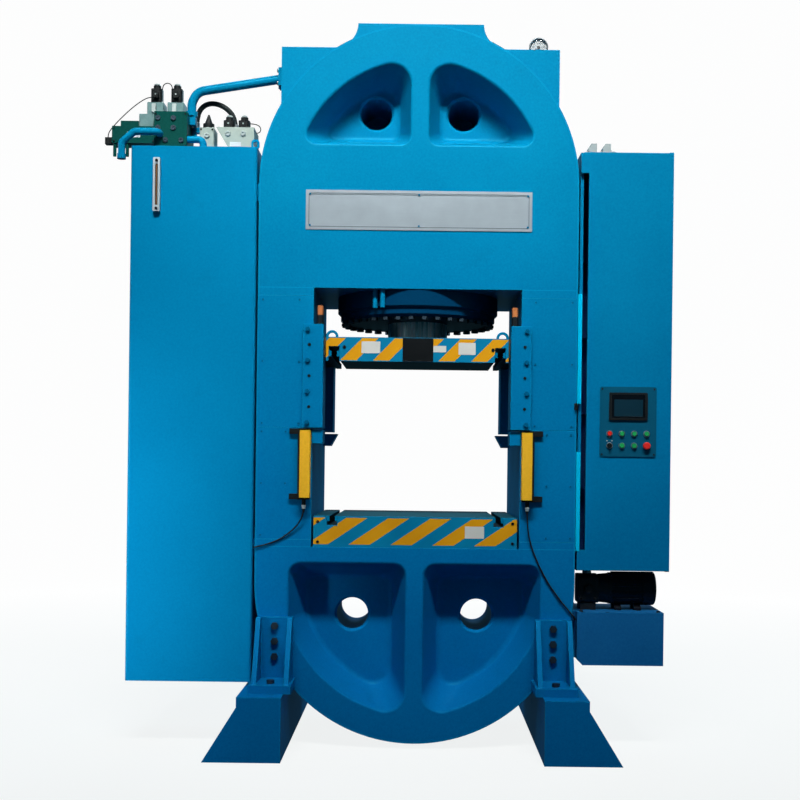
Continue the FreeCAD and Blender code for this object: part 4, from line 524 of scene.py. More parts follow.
# %% Striped aprons
def striped(name, period, width, slant, phase, zero_z, low, high):
    """Bands with their middle at phase, measured along X at the height zero_z, from low to high."""
    finish = Finish(name)
    along = finish.axis("X") - (finish.axis("Z") - zero_z) * slant
    ragged = (finish.noise(90.0, 3.0) - 0.5) * 0.0022
    turns = (along + ragged - phase) / period + 0.5
    folded = (turns.math("FRACT", turns) - 0.5).size()
    height = finish.axis("Z")
    inside = height.above(low, 0.002) * (1.0 - height.above(high, 0.002))
    band = (1.0 - folded.above(width / period / 2, 0.006)) * inside
    rub = finish.noise(36.0, 6.0, 0.72).above(0.69, 0.05) * 0.5
    tone = finish.noise(5.0, 3.0)
    blue = finish.colour_mix(tone, (0.000, 0.130, 0.285), (0.001, 0.220, 0.400))
    orange = finish.colour_mix(tone, (0.560, 0.230, 0.004), (0.720, 0.340, 0.008))
    worn = finish.colour_mix(rub, orange, (0.36, 0.15, 0.02))
    finish.set(Base_Color=finish.colour_mix(band, blue, worn), Specular_IOR_Level=0.12)
    finish.set(Roughness=0.34 + finish.noise(60.0, 3.0) * 0.18)
    finish.bump(band * 0.6 + finish.noise(240.0, 2.0) * 0.4, 0.25, 0.0004, 0.0015)
    return finish.material


dress({
    striped("slide_stripes", period=0.1718, width=0.0855, slant=0.979, phase=-0.4206,
            zero_z=0.934, low=0.819, high=0.936): ("slide_apron",),
    striped("bolster_stripes", period=0.2201, width=0.111, slant=1.47, phase=-0.0621,
            zero_z=-0.1418, low=-0.149, high=-0.009): ("bolster_apron",),
})


# %% [markdown]
# ## Metals, rubbers and plastics
# Bare metal is told apart by its grain.  Ground chrome is almost a mirror with faint rings,
# zinc on bolts is soft and a little cloudy, brushed aluminium has long fine lines, and bronze
# is warm.  Rubber and moulded plastic are dark, broken by a fine grain.

# %% Metal and plastic finishes
def bare_metal(name, colour, roughness, grain=(40.0, 40.0, 40.0), strength=0.12, cloud=0.12,
               edge=0.0, metallic=1.0):
    """Metal with a grain that is stretched by three factors, and duller clouds."""
    finish = Finish(name)
    lines = finish.noise(9.0, 4.0, 0.6, finish.stretched(*grain))
    clouds = finish.noise(14.0, 3.0)
    dull = tuple(part * 0.72 for part in colour)
    finish.set(Base_Color=finish.colour_mix((clouds * 0.6 + lines * 0.4).clamped(), dull, colour))
    finish.set(Metallic=metallic, Roughness=roughness + clouds * cloud + lines * 0.05)
    finish.bump(lines, strength, 0.0002, edge)
    return finish.material


def moulded(name, colour, roughness=0.5, grain=420.0, coat=0.0, specular=0.5):
    """Rubber or plastic with a fine grain; coat makes it glossy."""
    finish = Finish(name)
    fine = finish.noise(grain, 2.0)
    patches = finish.noise(9.0, 3.0)
    pale = tuple(min(1.0, part * 1.3 + 0.002) for part in colour)
    finish.set(Base_Color=finish.colour_mix((patches * 0.7 + fine * 0.3).clamped(), colour, pale))
    finish.set(Roughness=roughness + patches * 0.12, Coat_Weight=coat)
    finish.set(Specular_IOR_Level=specular)
    finish.bump(fine, 0.18, 0.0002, 0.0008)
    return finish.material


zinc = bare_metal("zinc_plate", (0.58, 0.60, 0.61), 0.30)
dark_steel = bare_metal("blued_steel", (0.055, 0.085, 0.115), 0.42)
brushed = bare_metal("brushed_aluminium", (0.62, 0.71, 0.76), 0.40, (0.6, 30.0, 60.0), 0.10, 0.06, 0.0008)
satin_plate = bare_metal("satin_plate", (0.36, 0.42, 0.47), 0.40, (0.6, 30.0, 60.0), 0.10, 0.06, 0.0008, 0.75)
gauge_case = bare_metal("gauge_case", (0.14, 0.17, 0.19), 0.40)
bronze = bare_metal("guide_bronze", (0.50, 0.31, 0.12), 0.32)
cast_alloy = bare_metal("cast_alloy", (0.030, 0.036, 0.042), 0.50, (60.0, 60.0, 60.0), 0.3)
polished = bare_metal("polished_steel", (0.50, 0.53, 0.55), 0.26, metallic=0.8)
pale_steel = bare_metal("pale_steel", (0.62, 0.72, 0.71), 0.28, metallic=0.65)
tape_steel = bare_metal("winding_steel", (0.20, 0.21, 0.23), 0.4, (2.0, 120.0, 2.0), 0.3)

black_plastic = moulded("black_moulding", (0.004, 0.006, 0.007), 0.42, specular=0.2)
lead_rubber = moulded("lead_cover", (0.006, 0.008, 0.009), 0.55, 600.0, specular=0.2)
hose_rubber = moulded("hose_cover", (0.004, 0.010, 0.011), 0.5, 500.0, specular=0.2)
grey_plastic = moulded("grey_moulding", (0.24, 0.28, 0.28), 0.45)
# The switchgear sits in the shaded gap beside the frame and is painted a bright navy, as painted fill light.
switch_lit_navy = moulded("switch_lit_navy", (0.030, 0.110, 0.380), 0.5, specular=0.2)
motor_black = enamel("motor_black", (0.004, 0.004, 0.006), (0.012, 0.011, 0.015), 0.34)
valve_green = enamel("valve_green", (0.002, 0.040, 0.034), (0.006, 0.075, 0.060), 0.30, 0.08, 0.0015)
curtain_yellow = enamel("curtain_yellow", (0.720, 0.370, 0.012), (0.920, 0.500, 0.030), 0.36, 0.05, 0.0015)
panel_teal = enamel("panel_teal", (0.002, 0.066, 0.130), (0.004, 0.092, 0.165), 0.42, 0.06, 0.0008)
red_cap = moulded("red_cap", (0.62, 0.018, 0.012), 0.22, 300.0, 0.5)
green_cap = moulded("green_cap", (0.010, 0.30, 0.075), 0.24, 300.0, 0.5)


# %% [markdown]
# Three pieces need more than one tone.  The ram's chrome has a teal tint and long pale streaks,
# both painted reflection, the valve castings over the tank's left half are darker than the
# others, and the oilers have an amber bowl between a dark cap and a dark foot.

# %% Chrome, two-tone castings and oil bowls
bowl_foot, bowl_top = 1.056, 1.104
casting_limit = -1.19


def ground_chrome():
    """Chrome whose grinding marks run round the ram, with a teal tint and a long pale streak pattern down its
    side, both painted reflection.
    """
    finish = Finish("ground_chrome")
    rings = finish.noise(9.0, 3.0, 0.6, finish.stretched(2.0, 2.0, 120.0))
    reflection_streaks = finish.noise(26.0, 5.0, 0.75, finish.stretched(1.0, 1.0, 0.04)).above(0.5, 0.22)
    # Painted reflection: a teal base with pale streaks stands in for what the chrome reflects.
    finish.set(Base_Color=finish.colour_mix(reflection_streaks, (0.36, 0.66, 0.70), (1.0, 1.0, 1.0)))
    finish.set(Metallic=0.2, Roughness=0.16 + reflection_streaks * 0.30 + rings * 0.06)
    finish.bump(rings, 0.05, 0.0002)
    return finish.material


def two_tone_casting():
    """Grey-green castings: the ones over the tank's left half are darker than the others."""
    finish = Finish("valve_grey")
    patches = finish.noise(24.0, 5.0, 0.7)
    right = finish.axis("X").above(casting_limit, 0.02)
    darker = finish.colour_mix(patches, (0.060, 0.150, 0.160), (0.200, 0.330, 0.330))
    paler = finish.colour_mix(patches, (0.250, 0.330, 0.300), (0.420, 0.490, 0.450))
    finish.set(Base_Color=finish.colour_mix(right, darker, paler), Roughness=0.34 + patches * 0.16)
    finish.set(Specular_IOR_Level=0.3)
    finish.bump(patches, 0.25, 0.0005, 0.0015)
    return finish.material


def oil_bowl():
    """A dark cap and foot with the amber bowl between them, told apart by height."""
    finish = Finish("amber_bowl")
    height = finish.axis("Z")
    amber = (1.0 - height.above(bowl_top, 0.003)) * height.above(bowl_foot, 0.003)
    shine = finish.noise(40.0, 2.0)
    glass = finish.colour_mix(shine, (0.420, 0.110, 0.030), (0.620, 0.220, 0.070))
    finish.set(Base_Color=finish.colour_mix(amber, (0.005, 0.008, 0.010), glass))
    finish.set(Roughness=0.34 - amber * 0.14, Coat_Weight=amber * 0.6)
    finish.bump(shine, 0.05, 0.0002)
    return finish.material


dress({
    dark_steel: ("foot_bolts", "gland_bolts"),
    ground_chrome(): ("main_ram",),
    satin_plate: ("nameplate",),
    brushed: ("level_gauge",),
    gauge_case: ("pressure_gauge",),
    bronze: ("slide_wear_plates",),
    tape_steel: ("frame_winding",),
    cast_alloy: ("pump",),
    black_plastic: ("curtain_clamps", "valve_solenoids", "touch_screen", "motor_fan",
                    "mode_selector", "gauge_needle", "piston_rings"),
    grey_plastic: ("cabinet_connectors",),
    switch_lit_navy: ("switchgear",),
    motor_black: ("motor",),
    valve_green: ("valve_manifold",),
    two_tone_casting(): ("valve_blocks",),
    curtain_yellow: ("light_curtains",),
    panel_teal: ("control_panel",),
    red_cap: ("stop_button", "emergency_stop"),
    green_cap: ("start_button", "up_button", "down_button", "pump_on_button", "pump_off_button"),
    oil_bowl(): ("lubricators",),
})
for name, piece in cords.items():
    thick = name == "valve_hose"
    piece.data.materials.append(hose_rubber if thick else lead_rubber)


# %% [markdown]
# ## Tools for the added pieces
# The solids have every large form.  Still missing are the small things that a fitter screws or
# sticks on at the end: labels, sight glasses, screws, nuts, glands.  Each begins as a primitive
# at its true size, gets its form in edit mode, and is then settled: its place goes into its
# mesh, its object stays at the origin, and it rides with a body of the press.


def pick(piece):
    """Make a piece the only selected one."""
    bpy.ops.object.select_all(action="DESELECT")
    piece.select_set(True)
    bpy.context.view_layer.objects.active = piece


def bake():
    """Put the place, turn and size of what is selected into its mesh."""
    bpy.ops.object.transform_apply(location=True, rotation=True, scale=True)


def settle(piece, name, material, body="press_frame"):
    """Name and finish a piece, put its place into its mesh and let it ride on a body."""
    pick(piece)
    bake()
    bpy.ops.object.mode_set(mode="EDIT")
    bpy.ops.mesh.select_all(action="SELECT")
    bpy.ops.mesh.remove_doubles(threshold=0.00001)
    bpy.ops.mesh.normals_make_consistent(inside=False)
    end_edit()
    bpy.ops.object.shade_smooth_by_angle(angle=math.radians(20.0))
    piece.name = piece.data.name = name
    piece.data.materials.clear()
    piece.data.materials.append(material)
    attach(piece, body)
    return piece


def gather(pieces):
    """Join several pieces into the first one."""
    bpy.ops.object.select_all(action="DESELECT")
    for piece in pieces:
        piece.select_set(True)
    bpy.context.view_layer.objects.active = pieces[0]
    if len(pieces) > 1:
        bpy.ops.object.join()
    return pieces[0]


def repeated(master, places):
    """Copies of a piece, each with its own mesh, joined into one; the master is used up."""
    twins = []
    for place in places:
        twin = master.copy()
        twin.data = master.data.copy()
        twin.location = place
        bpy.context.scene.collection.objects.link(twin)
        twins.append(twin)
    bpy.data.objects.remove(master)
    whole = gather(twins)
    bake()
    return whole


# %% [markdown]
# Most of these pieces are one of three kinds.  A plate is a thin block with rounded corners and
# a raised or sunken field.  A turned piece grows from a disc, ring by ring, as on a lathe.  A
# screw is a turned piece with a socket pressed into its head.

# %% Plates, turned pieces and screws
FRONT = (math.radians(90), 0.0, 0.0)         # turns +Z to -Y
LEFT = (0.0, math.radians(-90), 0.0)         # turns +Z to -X
RIGHT = (0.0, math.radians(90), 0.0)         # turns +Z to +X
DOWN = (math.radians(180), 0.0, 0.0)         # turns +Z to -Z
UP = (0.0, 0.0, 0.0)
ORIGIN = (0.0, 0.0, 0.0)


def plate(centre, width, height, thickness, corner, border=0.0, sunk=0.0, turn=FRONT):
    """A rounded plate whose back lies at centre; its field is pushed in by sunk."""
    border = min(border, 0.7 * corner)
    bpy.ops.object.select_all(action="DESELECT")
    bpy.ops.mesh.primitive_cube_add(size=1.0)
    piece = bpy.context.object
    piece.scale = (width, height, thickness)
    piece.location = (0, 0, thickness / 2)
    bake()
    select_where(piece, "EDGE", lambda a, b: abs(a.z - b.z) > thickness / 2)
    bpy.ops.mesh.bevel(offset=corner, segments=5)
    if border:
        select_where(piece, "FACE", lambda middle, normal: normal.z > 0.9)
        bpy.ops.mesh.inset(thickness=border, depth=0.0)
        bpy.ops.mesh.inset(thickness=min(border, thickness) / 3, depth=-sunk)
    end_edit()
    piece.rotation_euler = turn
    piece.location = centre
    return piece


def turned(centre, steps, sides=32, turn=UP):
    """A closed round piece that starts at centre; steps are (radius, height) from its foot."""
    bpy.ops.object.select_all(action="DESELECT")
    radius, height = steps[0]
    bpy.ops.mesh.primitive_circle_add(vertices=sides, radius=radius, fill_type="NGON",
                                      location=(0, 0, height))
    piece = bpy.context.object
    bake()
    bpy.ops.object.mode_set(mode="EDIT")
    bpy.ops.mesh.select_all(action="SELECT")
    for next_radius, next_height in steps[1:]:
        rise = (0, 0, next_height - height)
        bpy.ops.mesh.extrude_region_move(TRANSFORM_OT_translate={"value": rise})
        if abs(next_radius - radius) > 1e-7:
            share = next_radius / radius
            bpy.ops.transform.resize(value=(share, share, 1), center_override=(0, 0, next_height))
        radius, height = next_radius, next_height
    end_edit()
    piece.rotation_euler = turn
    piece.location = centre
    return piece


def screw(radius, height, sides=24, socket=0.5, turn=FRONT):
    """A round screw head at the origin; the radius of its socket is a share of its own."""
    rim = height * 0.22
    inner = radius * socket
    steps = [(radius, 0.0), (radius, height - rim), (radius - rim, height),
             (inner * 1.08, height), (inner, height - rim / 2), (inner, height * 0.35)]
    return turned(ORIGIN, steps, sides, turn)


print("tools ready")


# %% [markdown]
# ## Labels and small screws
# Thin labels sit on the aprons: one black plate in the middle of the slide, and paler ones
# beside it.  They are left bare.  A label is so thin that only its rounded corners and its
# edge's shadow tell it from paint, so it gets a real thickness of about a millimetre.  Small
# dark screws hold the aprons and set the guides.

# %% Labels on the aprons
label_white = moulded("label_white", (0.50, 0.50, 0.48), 0.38, 90.0, 0.2)
plate_black = moulded("plate_black", (0.003, 0.004, 0.005), 0.30, 200.0, specular=0.2)
slide_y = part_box("slide_apron")[0][1]
bolster_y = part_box("bolster_apron")[0][1]
settle(plate((0.0036, slide_y, 0.8775), 0.161, 0.123, 0.0016, 0.003, 0.004, 0.0004),
       "slide_data_plate", plate_black, "slide_group")
labels = [plate((-0.2436, slide_y, 0.888), 0.099, 0.062, 0.0010, 0.003, 0.003, 0.0002),
          plate((0.1182, slide_y, 0.883), 0.067, 0.034, 0.0010, 0.002, 0.002, 0.0002),
          plate((0.2616, slide_y, 0.886), 0.090, 0.063, 0.0010, 0.003, 0.003, 0.0002)]
settle(gather(labels), "slide_labels", label_white, "slide_group")
settle(plate((0.3118, bolster_y, -0.0788), 0.101, 0.063, 0.0010, 0.003, 0.003, 0.0002),
       "bolster_label", label_white)
print("labels", len(labels) + 2)

# %% Small screws
black_screw = bare_metal("black_screw", (0.030, 0.034, 0.040), 0.38)
settle(repeated(screw(0.0085, 0.004), [(-0.383, slide_y, 0.889), (0.398, slide_y, 0.881)]),
       "slide_apron_screws", black_screw, "slide_group")
guide_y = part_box("front_guides")[0][1]
guide_bolt_low, guide_bolt_high = 0.489, 0.976
guide_pitch = (guide_bolt_high - guide_bolt_low) / 3
between = [guide_bolt_low + guide_pitch * (step + 0.5) for step in range(3)]
guide_places = [(side * 0.563, guide_y, z) for side in (-1, 1) for z in between]
settle(repeated(screw(0.0080, 0.0035), guide_places), "guide_set_screws", black_screw)
apron_places = [(side * 0.512, bolster_y, z) for side in (-1, 1) for z in (-0.030, -0.135)]
settle(repeated(screw(0.0075, 0.004, 24, 0.55), apron_places), "bolster_apron_screws", black_screw)
print("guide screws at heights", [round(z, 3) for z in between])


# %% [markdown]
# ## Nameplate
# The long aluminium plate carries only an engraved frame: a fine dark line inside its edge.
# The line is a thin rectangular ring, made by insetting both faces of a plate, deleting the
# fields inside and joining their edges with a wall.

# %% Nameplate frame
def bridge_open_loops():
    """Join the two open loops of the piece in edit mode with a wall, and leave edit mode."""
    bpy.context.tool_settings.mesh_select_mode = (False, True, False)
    bpy.ops.mesh.select_all(action="DESELECT")
    bpy.ops.mesh.select_non_manifold()
    bpy.ops.mesh.bridge_edge_loops()
    end_edit()


def thin_frame(centre, width, height, line, thickness, corner):
    """A flat rectangular ring that faces -Y."""
    piece = plate(ORIGIN, width, height, thickness, corner, turn=UP)
    select_where(piece, "FACE", lambda middle, normal: normal.z > 0.9)
    bpy.ops.mesh.inset(thickness=line, depth=0.0)
    bpy.ops.mesh.delete(type="FACE")
    select_where(piece, "FACE", lambda middle, normal: normal.z < -0.9)
    bpy.ops.mesh.inset(thickness=line, depth=0.0)
    bpy.ops.mesh.delete(type="FACE")
    bridge_open_loops()
    piece.rotation_euler = FRONT
    piece.location = centre
    return piece


line_margin = 0.015
nameplate_low, nameplate_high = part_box("nameplate")
nameplate_size = nameplate_high - nameplate_low
nameplate_front = (0.0, nameplate_low[1] + 0.0002, (nameplate_low[2] + nameplate_high[2]) / 2)
engraved = moulded("engraved_line", (0.045, 0.070, 0.085), 0.55)
line = thin_frame(nameplate_front, nameplate_size[0] - 2 * line_margin, nameplate_size[2] - 2 * line_margin,
                  0.0030, 0.0007, 0.012)
settle(line, "nameplate_line", engraved)


# %% [markdown]
# ## Pressure gauge
# The gauge is a steel case with a pale dial behind glass.  The dial has a scale over three
# quarters of a turn: long strokes with numbers and short strokes between them.  Each stroke is
# made at the top of the dial and turned about its centre.  A rolled bezel holds the glass, and
# a hub covers the needle's pin and turns with it.

# %% Gauge dial
dial_x, dial_y, dial_z = 0.646, -0.1395, 2.575
glass_y, bezel_y, hub_y = -0.1472, -0.1495, -0.1447
dial_radius = 0.0445
scale_start, scale_span, scale_steps = -135.0, 270.0, 20
steps_to_number, value_of_step = 4, 2
long_stroke, short_stroke = (0.0090, 0.0020), (0.0055, 0.0010)

dial_white = moulded("dial_white", (0.42, 0.44, 0.44), 0.45, 300.0)
dial_ink = moulded("dial_ink", (0.012, 0.012, 0.014), 0.5)
clear_glass = Finish("clear_glass")
clear_glass.set(Base_Color=(0.30, 0.34, 0.36), Roughness=0.04, Alpha=0.08, Specular_IOR_Level=0.5)
clear_glass.set(Coat_Weight=clear_glass.noise(12.0, 2.0) * 0.1 + 0.1)

dial_steps = [(dial_radius, 0.0), (dial_radius, 0.0004), (dial_radius * 0.985, 0.0006)]
settle(turned((dial_x, dial_y, dial_z), dial_steps, 64, FRONT), "gauge_dial", dial_white)


def stroke(angle, length, width):
    """A scale mark that ends near the dial's rim, turned clockwise from the top."""
    mark = plate((0, 0, dial_radius * 0.92 - length / 2), width, length, 0.0003, width / 4)
    pick(mark)
    bake()
    mark.rotation_euler = (0.0, math.radians(angle), 0.0)
    mark.location = (dial_x, dial_y - 0.0006, dial_z)
    return mark


strokes = []
for step in range(scale_steps + 1):
    angle = scale_start + scale_span * step / scale_steps
    strokes.append(stroke(angle, *(short_stroke if step % steps_to_number else long_stroke)))
settle(gather(strokes), "gauge_scale", dial_ink)
print("gauge strokes", len(strokes))

# %% Gauge numbers and glass
numbers = []
for step in range(0, scale_steps + 1, steps_to_number):
    angle = math.radians(scale_start + scale_span * step / scale_steps)
    bpy.ops.object.select_all(action="DESELECT")
    bpy.ops.object.text_add()
    word = bpy.context.object
    word.data.body = str(step * value_of_step)
    word.data.size = 0.0115
    word.data.align_x = "CENTER"
    word.data.align_y = "CENTER"
    word.data.extrude = 0.00012
    word.data.resolution_u = 3
    bpy.ops.object.convert(target="MESH")
    word = bpy.context.object
    word.rotation_euler = FRONT
    reach = dial_radius * 0.62
    word.location = (dial_x + reach * math.sin(angle), dial_y - 0.0007, dial_z + reach * math.cos(angle))
    pick(word)
    bake()
    numbers.append(word)
settle(gather(numbers), "gauge_numbers", dial_ink)
glass_steps = [(dial_radius, 0.0), (dial_radius, 0.0012), (dial_radius * 0.96, 0.0018)]
settle(turned((dial_x, glass_y, dial_z), glass_steps, 64, FRONT), "gauge_glass", clear_glass.material)
bezel_steps = [(0.0500, 0.0), (0.0524, 0.0008), (0.0515, 0.0030), (0.0480, 0.0042),
               (0.0450, 0.0034), (0.0440, 0.0)]
bezel = turned(ORIGIN, bezel_steps, 64)
select_where(bezel, "FACE", lambda middle, normal: middle.xy.length < 0.001)
bpy.ops.mesh.delete(type="FACE")
bridge_open_loops()
bezel.rotation_euler = FRONT
bezel.location = (dial_x, bezel_y, dial_z)
settle(bezel, "gauge_bezel", gauge_case)
hub = turned((dial_x, hub_y, dial_z), [(0.0085, 0.0), (0.0085, 0.0012), (0.0060, 0.0018)], 32, FRONT)
settle(hub, "gauge_hub", dial_ink, "needle_group")


# %% [markdown]
# ## Oil level gauge
# Two pieces lie in the long slot of the level gauge: the brown oil column and the clear glass
# over it.  The oil is a rounded bar, painted darker towards its sides as painted shade of its
# round form.

# %% Level gauge
level_x, level_z = -1.3745, 1.724
level_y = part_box("level_gauge")[0][1]
oil_finish = Finish("brown_oil")
# Painted shade: the oil darkens towards its sides.
side_shade = ((oil_finish.axis("X") - level_x).size() * 150.0).clamped()
depth = oil_finish.noise(14.0, 3.0)
deep = (side_shade * 0.7 + depth * 0.3).clamped()
oil_finish.set(Base_Color=oil_finish.colour_mix(deep, (0.170, 0.070, 0.020), (0.035, 0.014, 0.006)))
oil_finish.set(Roughness=0.12 + depth * 0.1, Coat_Weight=0.6, Coat_Roughness=0.05)
oil = plate((level_x, level_y + 0.0082, level_z), 0.0145, 0.2150, 0.0040, 0.0055, 0.0030, -0.0012)
settle(oil, "level_oil", oil_finish.material)
pane = plate((level_x, level_y + 0.0035, level_z), 0.0148, 0.2160, 0.0018, 0.0060, 0.0020, 0.0002)
settle(pane, "level_glass", clear_glass.material)
level_places = [(level_x, level_y, level_z + side * 0.125) for side in (-1, 1)]
settle(repeated(screw(0.0075, 0.0050), level_places), "level_screws", black_screw)
print("level gauge front", round(level_y, 4))


# %% [markdown]
# ## Operator panel
# The touch screen has dark glass with a slightly lighter display under it.  Round metal
# collars stand round the push buttons, and two short pale marks show the selector's ends.  The
# screen is switched off, so its display is bare.

# %% Screen and collars
screen_low, screen_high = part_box("touch_screen")
screen_x = (screen_low[0] + screen_high[0]) / 2
screen_z = (screen_low[2] + screen_high[2]) / 2
black_glass = moulded("black_glass", (0.001, 0.002, 0.004), 0.12, 60.0, specular=0.3)
display_glass = moulded("display_glass", (0.003, 0.022, 0.038), 0.12, 40.0, specular=0.4)
screen_y = screen_low[1]
pane = plate((screen_x, screen_y + 0.0021, screen_z), 0.1735, 0.1225, 0.0012, 0.003, 0.004, 0.0003)
settle(pane, "screen_glass", black_glass, "door_group")
pane = plate((screen_x, screen_y + 0.0009, screen_z - 0.008), 0.150, 0.088, 0.0006, 0.002, 0.002, 0.0002)
settle(pane, "screen_display", display_glass, "door_group")

button_columns = (1.0141, 1.0787, 1.1433, 1.2079)
button_rows = (0.450, 0.387)
emergency_stop_place = (button_columns[3], button_rows[1])
panel_low, panel_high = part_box("control_panel")
panel_front = panel_low[1] + 0.0050
collar_steps = [(0.0162, 0.0), (0.0168, 0.0010), (0.0166, 0.0050), (0.0158, 0.0058),
                (0.0140, 0.0058), (0.0134, 0.0050), (0.0134, 0.0010)]
collar_places = [(x, panel_front, z) for z in button_rows for x in button_columns
                 if (x, z) != emergency_stop_place]
settle(repeated(turned(ORIGIN, collar_steps, 40, FRONT), collar_places),
       "button_collars", polished, "door_group")
marks = [plate((button_columns[0] + side * 0.013, panel_front, button_rows[1] + 0.025), 0.009, 0.004,
               0.0008, 0.0015, 0.0010, 0.0001) for side in (-1, 1)]
settle(gather(marks), "selector_marks", label_white, "door_group")
screw_inset = 0.012
corner_places = [(x, panel_front, z) for x in (panel_low[0] + screw_inset, panel_high[0] - screw_inset)
                 for z in (panel_low[2] + screw_inset, panel_high[2] - screw_inset)]
settle(repeated(screw(0.0050, 0.0022), corner_places), "panel_screws", black_screw, "door_group")
print("collars", len(collar_places), "panel front", round(panel_front, 4))


# %% [markdown]
# ## Valves
# The valve blocks on the tank are castings with many small things on them: a black plug with
# one bright screw on each coil, a pale nut that holds the coil on its tube, socket screws that
# clamp each body, hexagon plugs that close drilled channels, and two small bare plates.

# %% Coil plugs and nuts
manifold_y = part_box("valve_manifold")[0][1]
valve_y = -0.300
body_front, relief_front, twin_front, pilot_front = -0.355, -0.360, -0.390, -0.348
pilot_top, relief_top, twin_top = 2.189, 2.054, 2.050
pilot_x = (-1.412, -1.304)
relief_x = -1.134
twin_x = (-1.022, -0.942)
coil_front = valve_y - 0.030
coil_places = [(x, pilot_top, 2.269) for x in pilot_x] + [(x, twin_top, 2.104) for x in twin_x]
plug_pieces = []
screw_places = []
nut_places = []
seat_places = []
for x, foot, top in coil_places:
    middle = (foot + top) / 2 + 0.004
    plug_pieces.append(plate((x, coil_front, middle), 0.030, 0.036, 0.022, 0.005, 0.003, 0.0008))
    screw_places.append((x, coil_front - 0.0208, middle))
    nut_places.append((x, valve_y, top + 0.0195))
    seat_places.append((x, valve_y, foot))
settle(gather(plug_pieces), "coil_plugs", black_plastic)
settle(repeated(screw(0.0042, 0.0026), screw_places), "coil_plug_screws", pale_steel)
nut_steps = [(0.0150, 0.0), (0.0170, 0.0012), (0.0170, 0.0085), (0.0150, 0.0100),
             (0.0075, 0.0100), (0.0070, 0.0130), (0.0055, 0.0135)]
settle(repeated(turned(ORIGIN, nut_steps, 6), nut_places), "coil_nuts", pale_steel)
seat_steps = [(0.0345, 0.0), (0.0345, 0.0030), (0.0325, 0.0048)]
settle(repeated(turned(ORIGIN, seat_steps, 40), seat_places), "coil_seats", pale_steel)
print("coils", len(coil_places))

# %% Clamping screws and channel plugs
top_screws = [(x + dx, valve_y + dy, pilot_top) for x in pilot_x for dx in (-0.037, 0.037)
              for dy in (-0.038, 0.038)]
top_screws += [(x, valve_y + dy, twin_top) for x in (-1.066, -0.982, -0.892) for dy in (-0.075, 0.075)]
top_screws += [(relief_x + dx, valve_y + dy, relief_top) for dx in (-0.0315, 0.0315)
               for dy in (-0.050, 0.050)]
settle(repeated(screw(0.0052, 0.0045, 20, 0.55, UP), top_screws), "valve_top_screws", pale_steel)
front_screws = [(x, body_front, z) for x in (-1.628, -1.420) for z in (1.979, 2.049)]
front_screws += [(x, manifold_y, z) for x in (-1.398, -1.242) for z in (1.944, 2.114)]
front_screws += [(x, relief_front, z) for x in (-1.164, -1.104) for z in (1.941, 2.044)]
settle(repeated(screw(0.0048, 0.0042, 20), front_screws), "valve_front_screws", black_screw)
plug_steps = [(0.0150, 0.0), (0.0150, 0.0060), (0.0135, 0.0075), (0.0070, 0.0075), (0.0064, 0.0030)]
dark_places = [(x, manifold_y, z) for x in (-1.386, -1.304) for z in (2.092, 2.040)]
dark_places += [(x, manifold_y, 1.975) for x in (-1.345, -1.262)]
settle(repeated(turned(ORIGIN, plug_steps, 6, FRONT), dark_places), "manifold_plugs", dark_steel)
pale_places = [(relief_x, relief_front, 2.012)]
pale_places += [(x, twin_front, 2.016) for x in (-1.016, -0.936)]
settle(repeated(turned(ORIGIN, plug_steps, 6, FRONT), pale_places), "channel_plugs", pale_steel)
lock_steps = [(0.0340, 0.0), (0.0352, 0.0012), (0.0352, 0.0085), (0.0335, 0.0100)]
settle(turned((relief_x, valve_y, relief_top), lock_steps, 6), "relief_lock_nut", pale_steel)
print("plugs", len(dark_places) + len(pale_places))

# %% Bare plates and flange bolts
plates = [plate((-1.524, body_front, 2.014), 0.070, 0.030, 0.0012, 0.003, 0.002, 0.0003),
          plate((-0.976, twin_front, 1.960), 0.060, 0.022, 0.0012, 0.003, 0.002, 0.0003)]
settle(gather(plates), "valve_plates", brushed)
sockets = [plate((x - 0.006, pilot_front, 2.158), 0.022, 0.046, 0.0100, 0.004, 0.002, 0.0006)
           for x in pilot_x]
settle(gather(sockets), "pilot_sockets", pale_steel)
flange_x, flange_z, flange_reach = -0.758, 2.336, 0.034
flange_places = [(flange_x, valve_y + dy, flange_z + dz) for dy in (-flange_reach, flange_reach)
                 for dz in (-flange_reach, flange_reach)]
hex_steps = [(0.0105, 0.0), (0.0110, 0.0008), (0.0110, 0.0066), (0.0098, 0.0078)]
settle(repeated(turned(ORIGIN, hex_steps, 6, LEFT), flange_places), "pipe_flange_bolts", zinc)
print("screws on the valves", len(top_screws) + len(front_screws) + len(flange_places))

# %% Hose ferrules and lead boots
ferrule_steps = [(0.0150, -0.006), (0.0172, -0.004), (0.0172, 0.012), (0.0162, 0.014),
                 (0.0172, 0.016), (0.0172, 0.028), (0.0152, 0.032)]
settle(repeated(turned(ORIGIN, ferrule_steps), [hose_route[0], hose_route[-1]]), "hose_ferrules", zinc)
boot_steps = [(0.0084, 0.0), (0.0084, 0.004), (0.0072, 0.006), (0.0072, 0.010),
              (0.0062, 0.012), (0.0062, 0.016), (0.0052, 0.018), (0.0048, 0.024)]
boot_drop = 0.014
boot_places = [(x, y, z - boot_drop) for x, y, z in (left_lead_route[0], right_lead_route[0])]
settle(repeated(turned(ORIGIN, boot_steps, 24, DOWN), boot_places), "lead_boots", lead_rubber)
print("boots", len(boot_places))


# %% [markdown]
# ## Cabinet top, motor and pump
# Two plugs stand on the cabinet's lid, each with bright locking levers.  The pump and its bell
# housing share the motor's shaft line, so their screws lie on circles about it.  The pump has
# hexagon fittings on its two ports.

